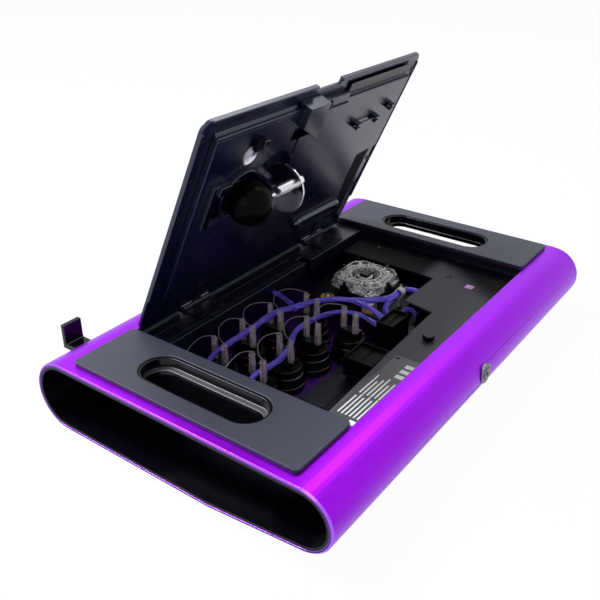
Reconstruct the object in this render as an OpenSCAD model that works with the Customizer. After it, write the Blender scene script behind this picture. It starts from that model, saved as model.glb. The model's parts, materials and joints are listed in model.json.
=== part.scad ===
// Arcade fight stick lying on its buttons, service cover swung open

/* [Body] */
// Length of the body, end to end
body_l = 431; // [420:1:460]
// Depth of the body, front edge to back edge
body_w = 280; // [276:1:300]
// Height of the body, player's face to underside
body_h = 59.5; // [59.5:0.5:64]
// Radius of the rounded front edge
front_r = 25.75; // [24:0.25:27]
// How far the sloping part of the player's face reaches from the front edge
slope_run = 104; // [98:1:110]
// Wall of the metal body
skin_t = 3; // [2.5:0.25:3.5]
// Wall of the end liners
liner_t = 2; // [1.5:0.25:3]

/* [Underside] */
// Length of the service bay
bay_l = 291; // [289:1:295]
// Front edge of the body to the bay
bay_front_gap = 32.5; // [32:0.5:34]
// Back edge of the body to the bay
bay_back_gap = 38; // [36:0.5:39]
// Thickness of the foot pads
pad_t = 3.5; // [3:0.25:4.5]
// End of the body to the foot pad
pad_end_gap = 8; // [6:0.5:12]
// Length of each slot
slot_l = 116.5; // [100:0.5:124]
// Width of each slot as a share of the room between bay and end
slot_w_share = 0.5143; // [0.46:0.01:0.54]
// Bay edge to the slot as a share of that room
slot_in_share = 0.1643; // [0.14:0.01:0.2]
// Width of the ledge inside each slot
slot_ledge = 5; // [3:0.5:7]

/* [Cover] */
// Thickness of the cover's outer plate
cover_t = 3; // [2.5:0.25:3.5]
// How far the inner tray stands up from the plate
tray_rise = 5; // [4:0.25:5.5]
// Angle between the open cover and the underside
cover_angle = 65; // [50:1:75]
// Gap between the cover and the foot pads
cover_gap = 1; // [0.5:0.1:1.5]
// Width of the notch in the cover's free edge
cover_notch_w = 33; // [26:1:36]
// Depth of the notch in the cover's free edge
cover_notch_d = 5; // [3:0.5:8]
// Width of each hinge
hinge_w = 34; // [30:1:38]

/* [Buttons] */
// Diameter of a button barrel
barrel_d = 28; // [26:0.5:29]
// Diameter of a button rim
rim_d = 34; // [33:0.5:34.5]
// Diameter of a button plunger
plunger_d = 24; // [22:0.5:24.5]
// Height of a button barrel above the player's face
barrel_h = 24; // [22:0.5:25]
// Centre to centre of neighbouring buttons along a row
column_pitch = 35.5; // [35:0.25:36]
// Centre to centre of the two button rows
row_pitch = 40; // [38:0.5:41]
// How far a plunger can be pressed
press_travel = 3; // [2:0.25:3.5]

/* [Lever] */
// Distance of the lever from the middle of the body
lever_x = 76; // [74:0.5:78]
// Distance across the clear gate
gate_d = 54; // [53:0.5:56]
// Diameter of the ball top
ball_d = 35; // [32:0.5:36]
// Diameter of the lever shaft
shaft_d = 9.5; // [8:0.25:10]
// Diameter of the dust washer on the shaft
dust_d = 40; // [34:0.5:41]

/* [Wiring] */
// Diameter of a quick-disconnect sleeve
sleeve_d = 5; // [4.6:0.1:5.2]
// Diameter of a sleeved loom
loom_d = 6; // [5:0.25:6.5]
// Diameter of a ground wire
wire_d = 1.2; // [1:0.1:1.4]

/* [Latch] */
// Diameter of the latch bezel
bezel_d = 17; // [16:0.25:18]
// Diameter of the latch button
latch_d = 10; // [9:0.25:11]
// How far the latch button can be pushed
latch_travel = 3; // [2:0.25:3.5]

/* [Hidden] */
$fn = 64;
arc_steps = 24;
half_turn = 180;
over = 1;
fit = 0.1;

purple = [0.55, 0.16, 0.86];
black = [0.06, 0.06, 0.07];
graphite = [0.2, 0.21, 0.23];
ink_blue = [0.1, 0.11, 0.17];

// Body outline, seen from the end
back_r = body_h / 2;
back_y = body_w / 2 - back_r;
front_y = front_r - body_w / 2;
front_z = body_h - front_r;
kink_y = slope_run - body_w / 2;
end_x = body_l / 2;

// Service bay and what lines it
bay_x = bay_l / 2;
bay_front = bay_front_gap - body_w / 2;
bay_back = body_w / 2 - bay_back_gap;
roof_z = body_h - skin_t;
rail_gap = 1;
rail_t = 2;
rail_x = bay_x + rail_gap;
rail_room = 0.5;
wall_x = rail_x + rail_t + rail_room;
rail_front_reach = 6;
ledge_w = 3;
ledge_t = 1.5;
upper_ledge_drop = 3.5;
lip_in = 0.3;

// Foot pads and slots
pad_out_x = end_x - pad_end_gap;
pad_corner_r = 4;
end_room = end_x - bay_x;
slot_w = slot_w_share * end_room;
slot_x = bay_x + slot_in_share * end_room + slot_w / 2;
grommet_t = 2;
grommet_drop = 1;
grommet_low = 9.5;
grommet_step = 5.5;
grommet_rim = 0.6;
pad_top = body_h + pad_t;

// Hinge shelf and hinges
hinge_in = 5;
hinge_y = bay_back - hinge_in;
hinge_drop = 4.5;
hinge_z = pad_top - hinge_drop;
knuckle_r = 2.6;
pin_r = 1.25;
pin_run = 0.05;
hinge_near_x = -78;
hinge_far_x = 96;
shelf_t = 3;
shelf_depth = 34;
shelf_front = bay_back - shelf_depth;
shelf_under = 6;
shelf_z = roof_z - shelf_t;
skirt_t = 2.5;
skirt_h = 9.5;
shelf_notch_x = 49;
shelf_notch_w = 8;
shelf_notch_d = 12;
shelf_gap_x = -88;
shelf_gap_w = 2;
hinge_leaf_t = 1.2;
hinge_leaf_l = 22;
hinge_leaf_back = 3;
hinge_room = 1.2;

// Front plate
plate_t = 1.5;
plate_top_drop = 12.5;
plate_top = body_h - plate_top_drop;
plate_z = plate_top - plate_t;
plate_edge_gap = 0.2;
plate_half = rail_x - plate_edge_gap;
plate_under = 4;
plate_front = bay_front - plate_under;
strip_near_w = 30;
strip_mid_w = 36.2;
strip_far_w = 39.8;
strip_mid_x = -42;
strip_step_x = 45.4;
strip_step_run = 5.6;
strip_wide_w = 70;
side_strip_w = 40.5;
side_strip_back_gap = 2;
plate_hole_at = [-37.6, 26.2];
plate_hole_r = 2.6;
window_in = 36.5;
window_at = [bay_x - window_in, 34.5];
window_w = 8;
plate_screw_in = [29.5, 11.5];
plate_screw_y = [58.5, 147.5];
plate_screw_at = [for (k = [0, 1]) [bay_x - plate_screw_in[k], plate_screw_y[k]]];
plate_screw_r = 2.4;
plate_screw_h = 1;
label_in = 6.5;
label_at = [label_in - bay_x, 2.5];
label_size = [105, 27];
label_t = 0.2;
stud_in = 19.5;
stud_r = 5;
stud_neck_r = 3;
stud_neck_h = 2;
stud_h = 6.5;
liner_sheet_t = 0.6;
liner_sheet_x = [-78, -10];
liner_sheet_y = [-75, -14];

// Buttons
column_x = -104;
front_row_y = 7;
odd_column_x = 2;
odd_front_y = -11;
odd_back_y = 30;
row_drop = 2;
rim_t = 3;
proud = 2;
neck_gap = 0.2;
barrel_wall = 1.8;
plunger_t = 9;
plunger_rest_gap = 1;
housing_roof_t = 1.5;
stem_r = 2;
stem_gap = 0.3;
nut_t = 6;
flange_rise = 14;
flange_t = 3;
flange_w = 1.2;
switch_h = 7;
switch_l = 20;
switch_w = 10;
tab_t = 0.8;
tab_w = 3.4;
tab_h = 9;
sleeve_h = 19;
sleeve_wall = 0.45;
sleeve_cap = 2;
sleeve_half_pitch = 7.5;
sleeve_lean = 4.5;
button_at = [
    [column_x, front_row_y], [column_x + column_pitch, front_row_y],
    [column_x + 2 * column_pitch, front_row_y - row_drop], [odd_column_x, odd_front_y],
    [column_x, front_row_y + row_pitch], [column_x + column_pitch, front_row_y + row_pitch],
    [column_x + 2 * column_pitch, front_row_y - row_drop + row_pitch],
    [odd_column_x, odd_back_y]
];
stand_h = rim_t + proud;
sleeve_z = barrel_h + switch_h;

// Lever unit
lever_y = 20;
screw_dx = 30;
screw_dy = 23;
base_t = 1.6;
base_l = 95;
base_w = 78;
base_z = 25.4;
base_top = base_z + base_t;
post_r = 4;
washer_r = 6;
washer_t = 0.7;
lever_screw_r = 3.6;
lever_screw_h = 2.6;
pivot_z = 15;
housing_r = 17;
housing_bore_r = 13.5;
housing_floor_gap = 1;
block_w = 50;
block_chamfer = 9;
block_h = 8;
switch_hole_r = 13;
lever_board_t = 1.6;
lever_board_edge = 2.5;
gate_gap = 1.4;
gate_floor_t = 2;
gate_h = 8;
gate_wall_t = 1.8;
gate_hole_r = 13.2;
gate_leg_r = 2.5;
gate_leg_out = 22;
gate_rib_t = 1.4;
gate_rib_h = 2.5;
gate_lobe_r = 5;
ring_h = 5;
ring_in_r = 10.3;
ring_out_r = 12.3;
trunnion_r = 1.5;
trunnion_run = 0.05;
trunnion_reach = 3;
actuator_r = 8;
socket_r = 6;
socket_bore_r = 3;
socket_low = 2;
hub_w = 9;
hub_top = 47.5;
cone_h = 8;
bezel_ring_r = 21;
bezel_hole_r = 13;
bezel_collar_r = 15;
board_top = base_top + block_h + lever_board_t;
gate_z = board_top + gate_gap;

// Main board
board_z = 12;
board_t = 1.6;
board_x = [-38, 96];
board_y = [-72, -28.5];
standoff_r = 3;
standoff_in = 5;
board_top_z = board_z + board_t;
connector_x = [[-38, -8], [16, 46], [50, 64], [78, 92]];
connector_y = [[-58, -30], [-46, -29], [-66, -50], [-62, -50]];
connector_top = [30, 38, 36, 36];

// Loom clip
clip_at = [71, -21.5];
clip_z = 41;
clip_wall = 1.4;
clip_w = 6;
clip_leg_w = 3;

// Port, cleats and latch
port_x = 110;
port_w = 14;
port_h = 8;
port_hole_w = 9;
port_hole_h = 3.6;
port_deep = 14;
port_socket_deep = 8;
cleat_x = 168;
cleat_w = 18;
cleat_t = 4.5;
cleat_low_drop = 19.5;
cleat_reach = 15;
cleat_leg_h = 17.5;
cleat_root = 12;
latch_drop = 23.5;
latch_z = body_h - latch_drop;
bezel_proud = 1.2;
bezel_neck_r = 7;
bezel_run = 0.2;
bezel_deep = 7;
bezel_flange_in = 2.5;
latch_rest_out = 0.6;
latch_head_l = 6;
latch_stem_r = 3;
latch_stem_spare = 21;
latch_stem_l = latch_travel + latch_stem_spare;
latch_tongue_w = 24;
latch_tongue_h = 14;
latch_tongue_t = 3;
guide_w = 18;
guide_l = 5;
guide_gap = 5;
guide_wall = 2.5;

// Cover
cover_x = bay_x - cover_gap;
cover_back_u = -1;
free_gap = 0.5;
free_u = hinge_y - bay_front - free_gap;
cover_corner_r = 9;
lip_w = 2.5;
lip_h = 1.2;
tray_side_gap = 14;
tray_x = cover_x - tray_side_gap;
tray_back_u = 36;
tray_free_gap = 13;
tray_u = free_u - tray_free_gap;
tray_d = cover_t + tray_rise;

// Places on the cover are shares of its half length and of its reach from the hinge
function cover_at(share) = [share[0] * cover_x, share[1] * free_u];
groove_x_share = -0.17647;
groove_x = groove_x_share * cover_x;
groove_w = 3;
groove_deep = 1.5;
groove_u_share = 0.70588;
groove_u = groove_u_share * free_u;
catch_x_share = [-0.24913, -0.0692];
catch_x = catch_x_share * cover_x;
catch_u_gap = [42.5, 8.5];
catch_d = 15.3;
catch_low_u_gap = 27;
strip_groove_u_gap = [18.5, 6.5];
strip_groove_x_share = 0.20761;
strip_groove_x = strip_groove_x_share * cover_x;
rib_x_share = [0.27682, 0.66436];
rib_x = rib_x_share * cover_x;
rib_u = 45;
rib_r = 8;
rib_h = 5;
recess_points_share = [
    [1, 0.53], [0.92, 0.53], [0.75, 0.52], [0.75, 0.4], [0.79, 0.25], [0.94, 0.13], [1, 0.1]
];
lever_u_share = 0.63971;
lever_u = lever_u_share * free_u;
lever_d = 23;
ball_x_share = -0.59862;
ball_x = ball_x_share * cover_x;
ball_pocket_r = 19.5;
ball_rim_t = 2;
ball_rim_h = 4;
dust_x_share = -0.3218;
dust_x = dust_x_share * cover_x;
dust_t = 1.5;
dust_pocket_r = 24;
dimple_share = [-0.58824, 0.80392];
dimple_at = cover_at(dimple_share);
dimple_r = 9;
dimple_deep = 3;
hook_share = [-0.53979, 0.86765];
hook_at = cover_at(hook_share);
hook_w = 6;
hook_t = 1.6;
hook_h = 6;
bracket_x_share = [-0.83737, -0.79585];
bracket_x = bracket_x_share * cover_x;
bracket_u_share = [0.52941, 0.72549];
bracket_u = bracket_u_share * free_u;
bracket_h = 4;
bracket_tab_share = [-0.7128, 0.72059];
bracket_tab_x = bracket_tab_share[0] * cover_x;
bracket_tab_u = bracket_tab_share[1] * free_u;
bracket_tab_w = 8;
bracket_tab_h = 6;
elbow_share = [0.02768, 0.89216];
elbow_at = cover_at(elbow_share);
elbow_l = 28;
elbow_w = 7;
elbow_t = 1.4;
holder_share = [[0.42907, 0.7451], [0.63668, 0.7451], [0.77509, 0.78431]];
holder_at = [for (s = holder_share) cover_at(s)];
holder_w = 6;
holder_h = 6;
holder_t = 1.6;
rod_r = 1;
cover_screw_r = 2;
cover_screw_h = 0.9;
cover_screw_in = 5.5;
cover_screw_count = 5;
cradle_x_share = [-0.44983, -0.41522];
cradle_x = cradle_x_share * cover_x;
cradle_arm_t = 2.5;
cradle_arm_h = 22;
cradle_gap = 0.4;
saddle_w = 16;
shaft_tip_share = -0.16609;
shaft_tip_x = shaft_tip_share * cover_x;
ball_socket_deep = 12;

// Whole part stands on its plungers, middle of its depth at zero
mid_y = cleat_reach / 2;

module placed() {
    translate([0, -mid_y, stand_h]) children();
}

module opened() {
    placed()
        translate([0, hinge_y, hinge_z])
            rotate([-cover_angle, 0, 0])
                translate([0, -hinge_y, -hinge_z])
                    children();
}

// Box between two corners
module span(lo, hi) {
    translate(lo) cube(hi - lo);
}

// Box on the cover: x, distance from the hinge line, depth from the outer face
module cover_span(x, u, d) {
    span([x[0], hinge_y - u[1], pad_top - d[1]], [x[1], hinge_y - u[0], pad_top - d[0]]);
}

// Places a child at a point of the cover, its +Z pointing out of the cover's inner face
module on_cover(x, u, d) {
    translate([x, hinge_y - u, pad_top - d]) mirror([0, 0, 1]) children();
}

// Angle of the sloping face above the level one
function slope_lift(inset) =
    let (run = kink_y - front_y, rise = front_z - inset)
    atan2(rise, run) - asin((front_r - inset) / norm([run, rise]));

function arc(centre, r, from, to) = [
    for (k = [0 : arc_steps])
        let (turn = from + (to - from) * k / arc_steps)
        centre + r * [cos(turn), sin(turn)]
];

module side_outline(inset) {
    back = arc([back_y, back_r], back_r - inset, -half_turn / 2, half_turn / 2);
    front = arc([front_y, front_z], front_r - inset, half_turn / 2,
                3 * half_turn / 2 - slope_lift(inset));
    polygon(concat(back, front, [[kink_y, inset]]));
}

module body_prism(inset, x_from, x_to) {
    translate([x_from, 0, 0])
        rotate([90, 0, 90])
            linear_extrude(x_to - x_from)
                side_outline(inset);
}

// Outline with straight long sides along Y and round ends
module stadium(length, width) {
    square([width, length - width], center = true);
    for (side = [-1, 1])
        translate([0, side * (length - width) / 2]) circle(d = width);
}

module rounded(size, r) {
    square([size[0] - 2 * r, size[1]], center = true);
    square([size[0], size[1] - 2 * r], center = true);
    for (sx = [-1, 1], sy = [-1, 1])
        translate([sx * (size[0] / 2 - r), sy * (size[1] / 2 - r)]) circle(r = r);
}

// Sweeps a round tube along points
function unit(v) = v / norm(v);
function heading(pts, i) =
    unit(pts[min(i + 1, len(pts) - 1)] - pts[max(i - 1, 0)]);
function side_of(v) = unit(abs(v[2]) < 0.9 ? cross([0, 0, 1], v) : cross([1, 0, 0], v));
function ring_points(p, v, r, n) =
    let (a = side_of(v), b = cross(v, a))
    [for (k = [0 : n - 1]) p + r * cos(360 * k / n) * a + r * sin(360 * k / n) * b];

module tube(pts, d, n = 8) {
    rings = len(pts);
    points = [for (i = [0 : rings - 1]) each ring_points(pts[i], heading(pts, i), d / 2, n)];
    skin = [
        for (i = [0 : rings - 2], k = [0 : n - 1])
            let (a = i * n + k, b = i * n + (k + 1) % n)
            each [[a, a + n, b], [b, a + n, b + n]]
    ];
    first = [for (k = [1 : n - 2]) [0, k, k + 1]];
    base = (rings - 1) * n;
    last = [for (k = [1 : n - 2]) [base, base + k + 1, base + k]];
    polyhedron(points, concat(skin, first, last));
}

module shell() {
    color(purple) placed()
        difference() {
            body_prism(0, -end_x, end_x);
            body_prism(skin_t, -end_x - over, end_x + over);
            span([-bay_x, bay_front, roof_z - over], [bay_x, bay_back, body_h + over]);
            for (side = [-1, 1])
                translate([side * slot_x, 0, roof_z - over])
                    linear_extrude(skin_t + 2 * over) stadium(slot_l, slot_w);
            for (at = button_at)
                translate([at[0], at[1], -over])
                    cylinder(r = barrel_d / 2 + neck_gap, h = skin_t + 2 * over);
            translate([lever_x, lever_y, -over])
                cylinder(r = bezel_collar_r + neck_gap, h = skin_t + 2 * over);
            translate([0, -body_w / 2 - over, latch_z])
                rotate([-90, 0, 0])
                    cylinder(r = bezel_neck_r + fit, h = front_r);
            span([port_x - port_hole_w / 2, back_y, back_r - port_hole_h / 2],
                 [port_x + port_hole_w / 2, body_w / 2 + over, back_r + port_hole_h / 2]);
        }
}

module end_liner() {
    color(black)
        difference() {
            body_prism(skin_t, wall_x, end_x - lip_in);
            body_prism(skin_t + liner_t, wall_x + liner_t, end_x + over);
            translate([slot_x, 0, roof_z - liner_t - over])
                linear_extrude(liner_t + 2 * over) stadium(slot_l, slot_w);
        }
}

module end_liner_near() {
    placed() mirror([1, 0, 0]) end_liner();
}

module end_liner_far() {
    placed() end_liner();
}

module foot_pad() {
    pad_w = pad_out_x - bay_x;
    pad_l = bay_back - bay_front;
    color(graphite)
        difference() {
            translate([bay_x + pad_w / 2, (bay_front + bay_back) / 2, body_h])
                linear_extrude(pad_t) rounded([pad_w, pad_l], pad_corner_r);
            translate([slot_x, 0, body_h - over])
                linear_extrude(pad_t + 2 * over) stadium(slot_l, slot_w);
        }
}

module foot_pad_near() {
    placed() mirror([1, 0, 0]) foot_pad();
}

module foot_pad_far() {
    placed() foot_pad();
}

module slot_grommet() {
    low = body_h - grommet_low;
    top = pad_top - grommet_drop;
    step = body_h - grommet_step;
    outer = 2 * fit;
    inner = outer + 2 * grommet_t;
    low_cut = inner + slot_ledge + grommet_rim;
    color(black)
        difference() {
            translate([slot_x, 0, low])
                linear_extrude(top - low) stadium(slot_l - outer, slot_w - outer);
            translate([slot_x, 0, step])
                linear_extrude(top) stadium(slot_l - inner, slot_w - inner);
            translate([slot_x + (slot_ledge - grommet_rim) / 2, 0, low - over])
                linear_extrude(top)
                    stadium(slot_l - low_cut, slot_w - low_cut);
        }
}

module slot_grommet_near() {
    placed() mirror([1, 0, 0]) slot_grommet();
}

module slot_grommet_far() {
    placed() slot_grommet();
}

module side_rail() {
    rail_front = bay_front - rail_front_reach;
    upper_z = roof_z - upper_ledge_drop;
    intersection() {
        union() {
            span([rail_x, rail_front, 0], [rail_x + rail_t, bay_back, body_h]);
            span([rail_x - ledge_w, bay_front, upper_z - ledge_t], [rail_x, shelf_front, upper_z]);
            span([rail_x - ledge_w, plate_front, plate_z - ledge_t], [rail_x, shelf_front, plate_z]);
        }
        body_prism(skin_t, bay_x - over - ledge_w, end_x);
    }
}

module side_rails() {
    color(black) placed() {
        side_rail();
        mirror([1, 0, 0]) side_rail();
    }
}

module hinge_shelf() {
    color(black) placed()
        difference() {
            union() {
                span([-rail_x, shelf_front, shelf_z], [rail_x, bay_back + shelf_under, roof_z]);
                span([ledge_w - rail_x, shelf_front, shelf_z - skirt_h],
                     [rail_x - ledge_w, shelf_front + skirt_t, shelf_z]);
            }
            for (x = [hinge_near_x, hinge_far_x])
                span([x - hinge_w / 2 - hinge_room, hinge_y - knuckle_r - hinge_room, shelf_z - over],
                     [x + hinge_w / 2 + hinge_room, bay_back, roof_z + over]);
            span([shelf_notch_x - shelf_notch_w / 2, shelf_front - over, shelf_z - skirt_h - over],
                 [shelf_notch_x + shelf_notch_w / 2, shelf_front + shelf_notch_d, roof_z + over]);
            span([shelf_gap_x - shelf_gap_w / 2, shelf_front - over, roof_z - shelf_t / 2],
                 [shelf_gap_x + shelf_gap_w / 2, shelf_front + shelf_notch_d, roof_z + over]);
        }
}

module front_plate() {
    inner_x = rail_x - side_strip_w;
    color(graphite) placed()
        difference() {
            translate([0, 0, plate_z])
                linear_extrude(plate_t)
                    polygon([
                        [-plate_half, plate_front],
                        [-plate_half, bay_front + strip_near_w],
                        [strip_mid_x, bay_front + strip_mid_w],
                        [strip_step_x, bay_front + strip_far_w],
                        [strip_step_x + strip_step_run, bay_front + strip_wide_w],
                        [inner_x, bay_front + strip_wide_w],
                        [inner_x, shelf_front - side_strip_back_gap],
                        [plate_half, shelf_front - side_strip_back_gap],
                        [plate_half, plate_front]
                    ]);
            translate([plate_hole_at[0], bay_front + plate_hole_at[1], plate_z - over])
                cylinder(r = plate_hole_r, h = plate_t + 2 * over);
            translate([window_at[0], bay_front + window_at[1], plate_z + plate_t / 2])
                cube([window_w, window_w, plate_t + 2 * over], center = true);
        }
}

module posts() {
    board_corners = [
        for (x = [board_x[0] + standoff_in, board_x[1] - standoff_in])
            for (y = [board_y[0] + standoff_in, board_y[1] - standoff_in]) [x, y]
    ];
    color(black) placed()
        intersection() {
            union() {
                for (at = plate_screw_at)
                    translate([at[0], bay_front + at[1], 0]) cylinder(r = post_r, h = plate_z);
                translate([0, bay_front + stud_in, 0]) cylinder(r = post_r, h = plate_z);
                for (at = board_corners)
                    translate([at[0], at[1], 0]) cylinder(r = standoff_r, h = board_z);
                for (sx = [-1, 1], sy = [-1, 1])
                    translate([lever_x + sx * screw_dx, lever_y + sy * screw_dy, 0])
                        cylinder(r = post_r, h = base_z);
            }
            body_prism(skin_t, -bay_x, bay_x);
        }
}

module plate_screws() {
    color("silver") placed()
        for (at = plate_screw_at)
            translate([at[0], bay_front + at[1], plate_top])
                cylinder(r = plate_screw_r, h = plate_screw_h);
}

module label_panel() {
    color([0.25, 0.26, 0.28]) placed()
        translate([label_at[0], bay_front + label_at[1], plate_top])
            cube([label_size[0], label_size[1], label_t]);
}

module cover_stud() {
    color(black) placed()
        translate([0, bay_front + stud_in, plate_top]) {
            cylinder(r = stud_neck_r, h = stud_neck_h);
            translate([0, 0, stud_neck_h]) cylinder(r = stud_r, h = stud_h - stud_neck_h);
        }
}

module floor_liner() {
    color([0.12, 0.13, 0.18]) placed()
        intersection() {
            difference() {
                body_prism(skin_t, liner_sheet_x[0], liner_sheet_x[1]);
                body_prism(skin_t + liner_sheet_t, liner_sheet_x[0] - over, liner_sheet_x[1] + over);
            }
            difference() {
                span([liner_sheet_x[0], liner_sheet_y[0], 0], [liner_sheet_x[1], liner_sheet_y[1], back_r]);
                for (at = button_at)
                    translate([at[0], at[1], 0]) cylinder(r = rim_d / 2 + neck_gap, h = back_r);
                translate([board_x[0] + standoff_in, board_y[1] - standoff_in, 0])
                    cylinder(r = standoff_r + neck_gap, h = back_r);
                translate([board_x[0] + standoff_in, board_y[0] + standoff_in, 0])
                    cylinder(r = standoff_r + neck_gap, h = back_r);
            }
        }
}

module button_housings() {
    bore_r = barrel_d / 2 - barrel_wall;
    bore_top = plunger_t - stand_h + press_travel + plunger_rest_gap;
    stem_top = barrel_h - housing_roof_t;
    color([0.08, 0.08, 0.09]) placed()
        for (at = button_at)
            translate([at[0], at[1], 0])
                difference() {
                    union() {
                        translate([0, 0, -rim_t]) cylinder(r = rim_d / 2, h = rim_t);
                        cylinder(r = barrel_d / 2, h = barrel_h);
                        translate([0, 0, flange_rise])
                            cylinder(r = barrel_d / 2 + flange_w, h = flange_t);
                    }
                    translate([0, 0, -rim_t - over]) cylinder(r = bore_r, h = bore_top + rim_t + over);
                    cylinder(r = stem_r + stem_gap, h = stem_top);
                }
}

module button_nuts() {
    color(black) placed()
        for (at = button_at)
            translate([at[0], at[1], skin_t])
                difference() {
                    cylinder(r = rim_d / 2, h = nut_t);
                    translate([0, 0, -over])
                        cylinder(r = barrel_d / 2 + neck_gap, h = nut_t + 2 * over);
                }
}

function sleeve_at(i) = [
    [button_at[i][0] + 1, button_at[i][1] + sleeve_half_pitch],
    [button_at[i][0] + 1 - sleeve_lean, button_at[i][1] - sleeve_half_pitch]
];

module button_switches() {
    color(black) placed()
        for (i = [0 : len(button_at) - 1]) {
            translate([button_at[i][0] - switch_w / 2, button_at[i][1] - switch_l / 2, barrel_h])
                cube([switch_w, switch_l, switch_h]);
            for (at = sleeve_at(i))
                translate([at[0] - tab_w / 2, at[1] - tab_t / 2, sleeve_z])
                    cube([tab_w, tab_t, tab_h]);
        }
}

module quick_disconnects() {
    color([0.62, 0.55, 0.56]) placed()
        for (i = [0 : len(button_at) - 1], at = sleeve_at(i))
            translate([at[0], at[1], sleeve_z])
                difference() {
                    cylinder(d = sleeve_d, h = sleeve_h);
                    translate([0, 0, -over])
                        cylinder(d = sleeve_d - 2 * sleeve_wall, h = sleeve_h - sleeve_cap + over);
                }
}

module plunger(i) {
    stem_l = stand_h + barrel_h - housing_roof_t - press_travel - plunger_rest_gap;
    color([0.1, 0.1, 0.11]) placed()
        translate([button_at[i][0], button_at[i][1], -stand_h]) {
            cylinder(r = plunger_d / 2, h = plunger_t);
            cylinder(r = stem_r, h = stem_l);
        }
}

module plunger_1() {
    plunger(0);
}

module plunger_2() {
    plunger(1);
}

module plunger_3() {
    plunger(2);
}

module plunger_4() {
    plunger(3);
}

module plunger_5() {
    plunger(4);
}

module plunger_6() {
    plunger(5);
}

module plunger_7() {
    plunger(6);
}

module plunger_8() {
    plunger(7);
}

// Ground wires run from the top of one sleeve to the top of the next
wire_back_1 = [[-69, 54, 50], [-69, 54, 51.5], [-77, 60, 53.5], [-92, 58, 54],
    [-105, 47, 53], [-107.5, 40, 51.5], [-107.5, 40, 50]];
wire_back_2 = [[-32, 53, 50], [-32, 53, 51.5], [-43, 60, 53.5], [-57, 60, 54],
    [-71, 49, 53], [-73, 40, 51.5], [-73, 40, 50]];
wire_back_3 = [[3, 37, 50], [3, 37, 51.5], [-2, 50, 53.5], [-14, 56, 54],
    [-28, 51, 53], [-36.5, 39, 51.5], [-36.5, 39, 50]];
wire_back_4 = [[-103, 54, 50], [-103, 54, 51.5], [-112, 60, 52.5], [-126, 60, 50],
    [-138, 56, 46], [-144, 54, 42.5], [-146.4, 54, 42]];
wire_front_1 = [[-67, 14, 50], [-67, 14, 51.5], [-80, 18, 53.5], [-94, 15, 54],
    [-105, 6, 53], [-107.5, 0, 51.5], [-107.5, 0, 50]];
wire_front_2 = [[-32, 12, 50], [-32, 12, 51.5], [-44, 18, 53.5], [-58, 16, 54],
    [-69, 7, 53], [-72, 0, 51.5], [-72, 0, 50]];
wire_front_3 = [[3, -3, 50], [3, -3, 51.5], [-6, 8, 53.5], [-20, 9, 54],
    [-32, 4, 53], [-36.5, -2, 51.5], [-36.5, -2, 50]];
wire_front_4 = [[-103, 14, 50], [-103, 14, 51.5], [-112, 19, 52.5], [-126, 19, 50],
    [-138, 16, 46], [-144, 15, 42.5], [-146.4, 15, 42]];

module ground_wires() {
    color([0.75, 0.75, 0.72]) placed() {
        tube(wire_back_1, wire_d);
        tube(wire_back_2, wire_d);
        tube(wire_back_3, wire_d);
        tube(wire_back_4, wire_d);
        tube(wire_front_1, wire_d);
        tube(wire_front_2, wire_d);
        tube(wire_front_3, wire_d);
        tube(wire_front_4, wire_d);
    }
}

loom_back_points = [
    [-146.4, 40, 34], [-143, 40, 34], [-130, 43, 37], [-112, 47, 41], [-88, 47, 42],
    [-66, 46.5, 42.5], [-48, 47, 43], [-32, 45, 44], [-15, 37, 45], [1, 30, 45.5],
    [14, 21, 45.5], [25, 8, 44], [32, -8, 40], [33, -19, 35.5], [33, -25, 33],
    [33, -28.9, 33]
];
loom_front_points = [
    [-146.4, 0, 28], [-143, 0, 28], [-128, 3, 31], [-108, 7, 34.5], [-88, 5, 34.5],
    [-70, 6.5, 35], [-56, 11, 35.5], [-44, 17, 36], [-32, 19.5, 37], [-14, 18, 38],
    [2, 13, 38], [15, 5, 37], [22, -8, 35], [23, -19, 32.2], [23, -25, 31],
    [23, -28.9, 31]
];
loom_lever_points = [
    [41, -28.9, 34], [41, -25.5, 34], [44, -22, 36], [52, -20.5, 39], [62, -21.5, 41],
    [71, -21.5, 41], [80, -23, 41], [85, -31, 39], [86, -40, 35.5], [85, -46, 32],
    [85, -49.9, 32]
];
loom_shelf_points = [[-6, 67.9, 46], [-6, 65, 46], [-7, 60, 46], [-10, 50, 45.5], [-13, 41, 45]];
loom_aux_points = [
    [46.1, -36, 33], [49, -36, 33], [54, -38, 35.5], [57, -42, 35], [57, -46.5, 32],
    [57, -49.9, 32]
];

module loom_back_row() {
    color([0.35, 0.3, 0.8]) placed() tube(loom_back_points, loom_d);
}

module loom_front_row() {
    color([0.35, 0.3, 0.8]) placed() tube(loom_front_points, loom_d);
}

module loom_lever() {
    color([0.35, 0.3, 0.8]) placed() tube(loom_lever_points, loom_d);
}

module loom_branches() {
    color([0.35, 0.3, 0.8]) placed() {
        tube(loom_shelf_points, loom_d);
        tube(loom_aux_points, loom_d);
    }
}

module lever_base_plate() {
    color(black) placed()
        difference() {
            translate([lever_x, lever_y, base_z])
                linear_extrude(base_t) rounded([base_w, base_l], pad_corner_r);
            translate([lever_x, lever_y, base_z - over])
                cylinder(r = housing_bore_r, h = base_t + 2 * over);
        }
}

module at_lever_corners(dx, dy, z) {
    for (sx = [-1, 1], sy = [-1, 1])
        translate([lever_x + sx * dx, lever_y + sy * dy, z]) children();
}

module lever_washers() {
    color([0.8, 0.5, 0.25]) placed()
        at_lever_corners(screw_dx, screw_dy, base_top) cylinder(r = washer_r, h = washer_t);
}

module lever_screws() {
    color("silver") placed()
        at_lever_corners(screw_dx, screw_dy, base_top + washer_t)
            cylinder(r = lever_screw_r, h = lever_screw_h);
}

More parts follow.
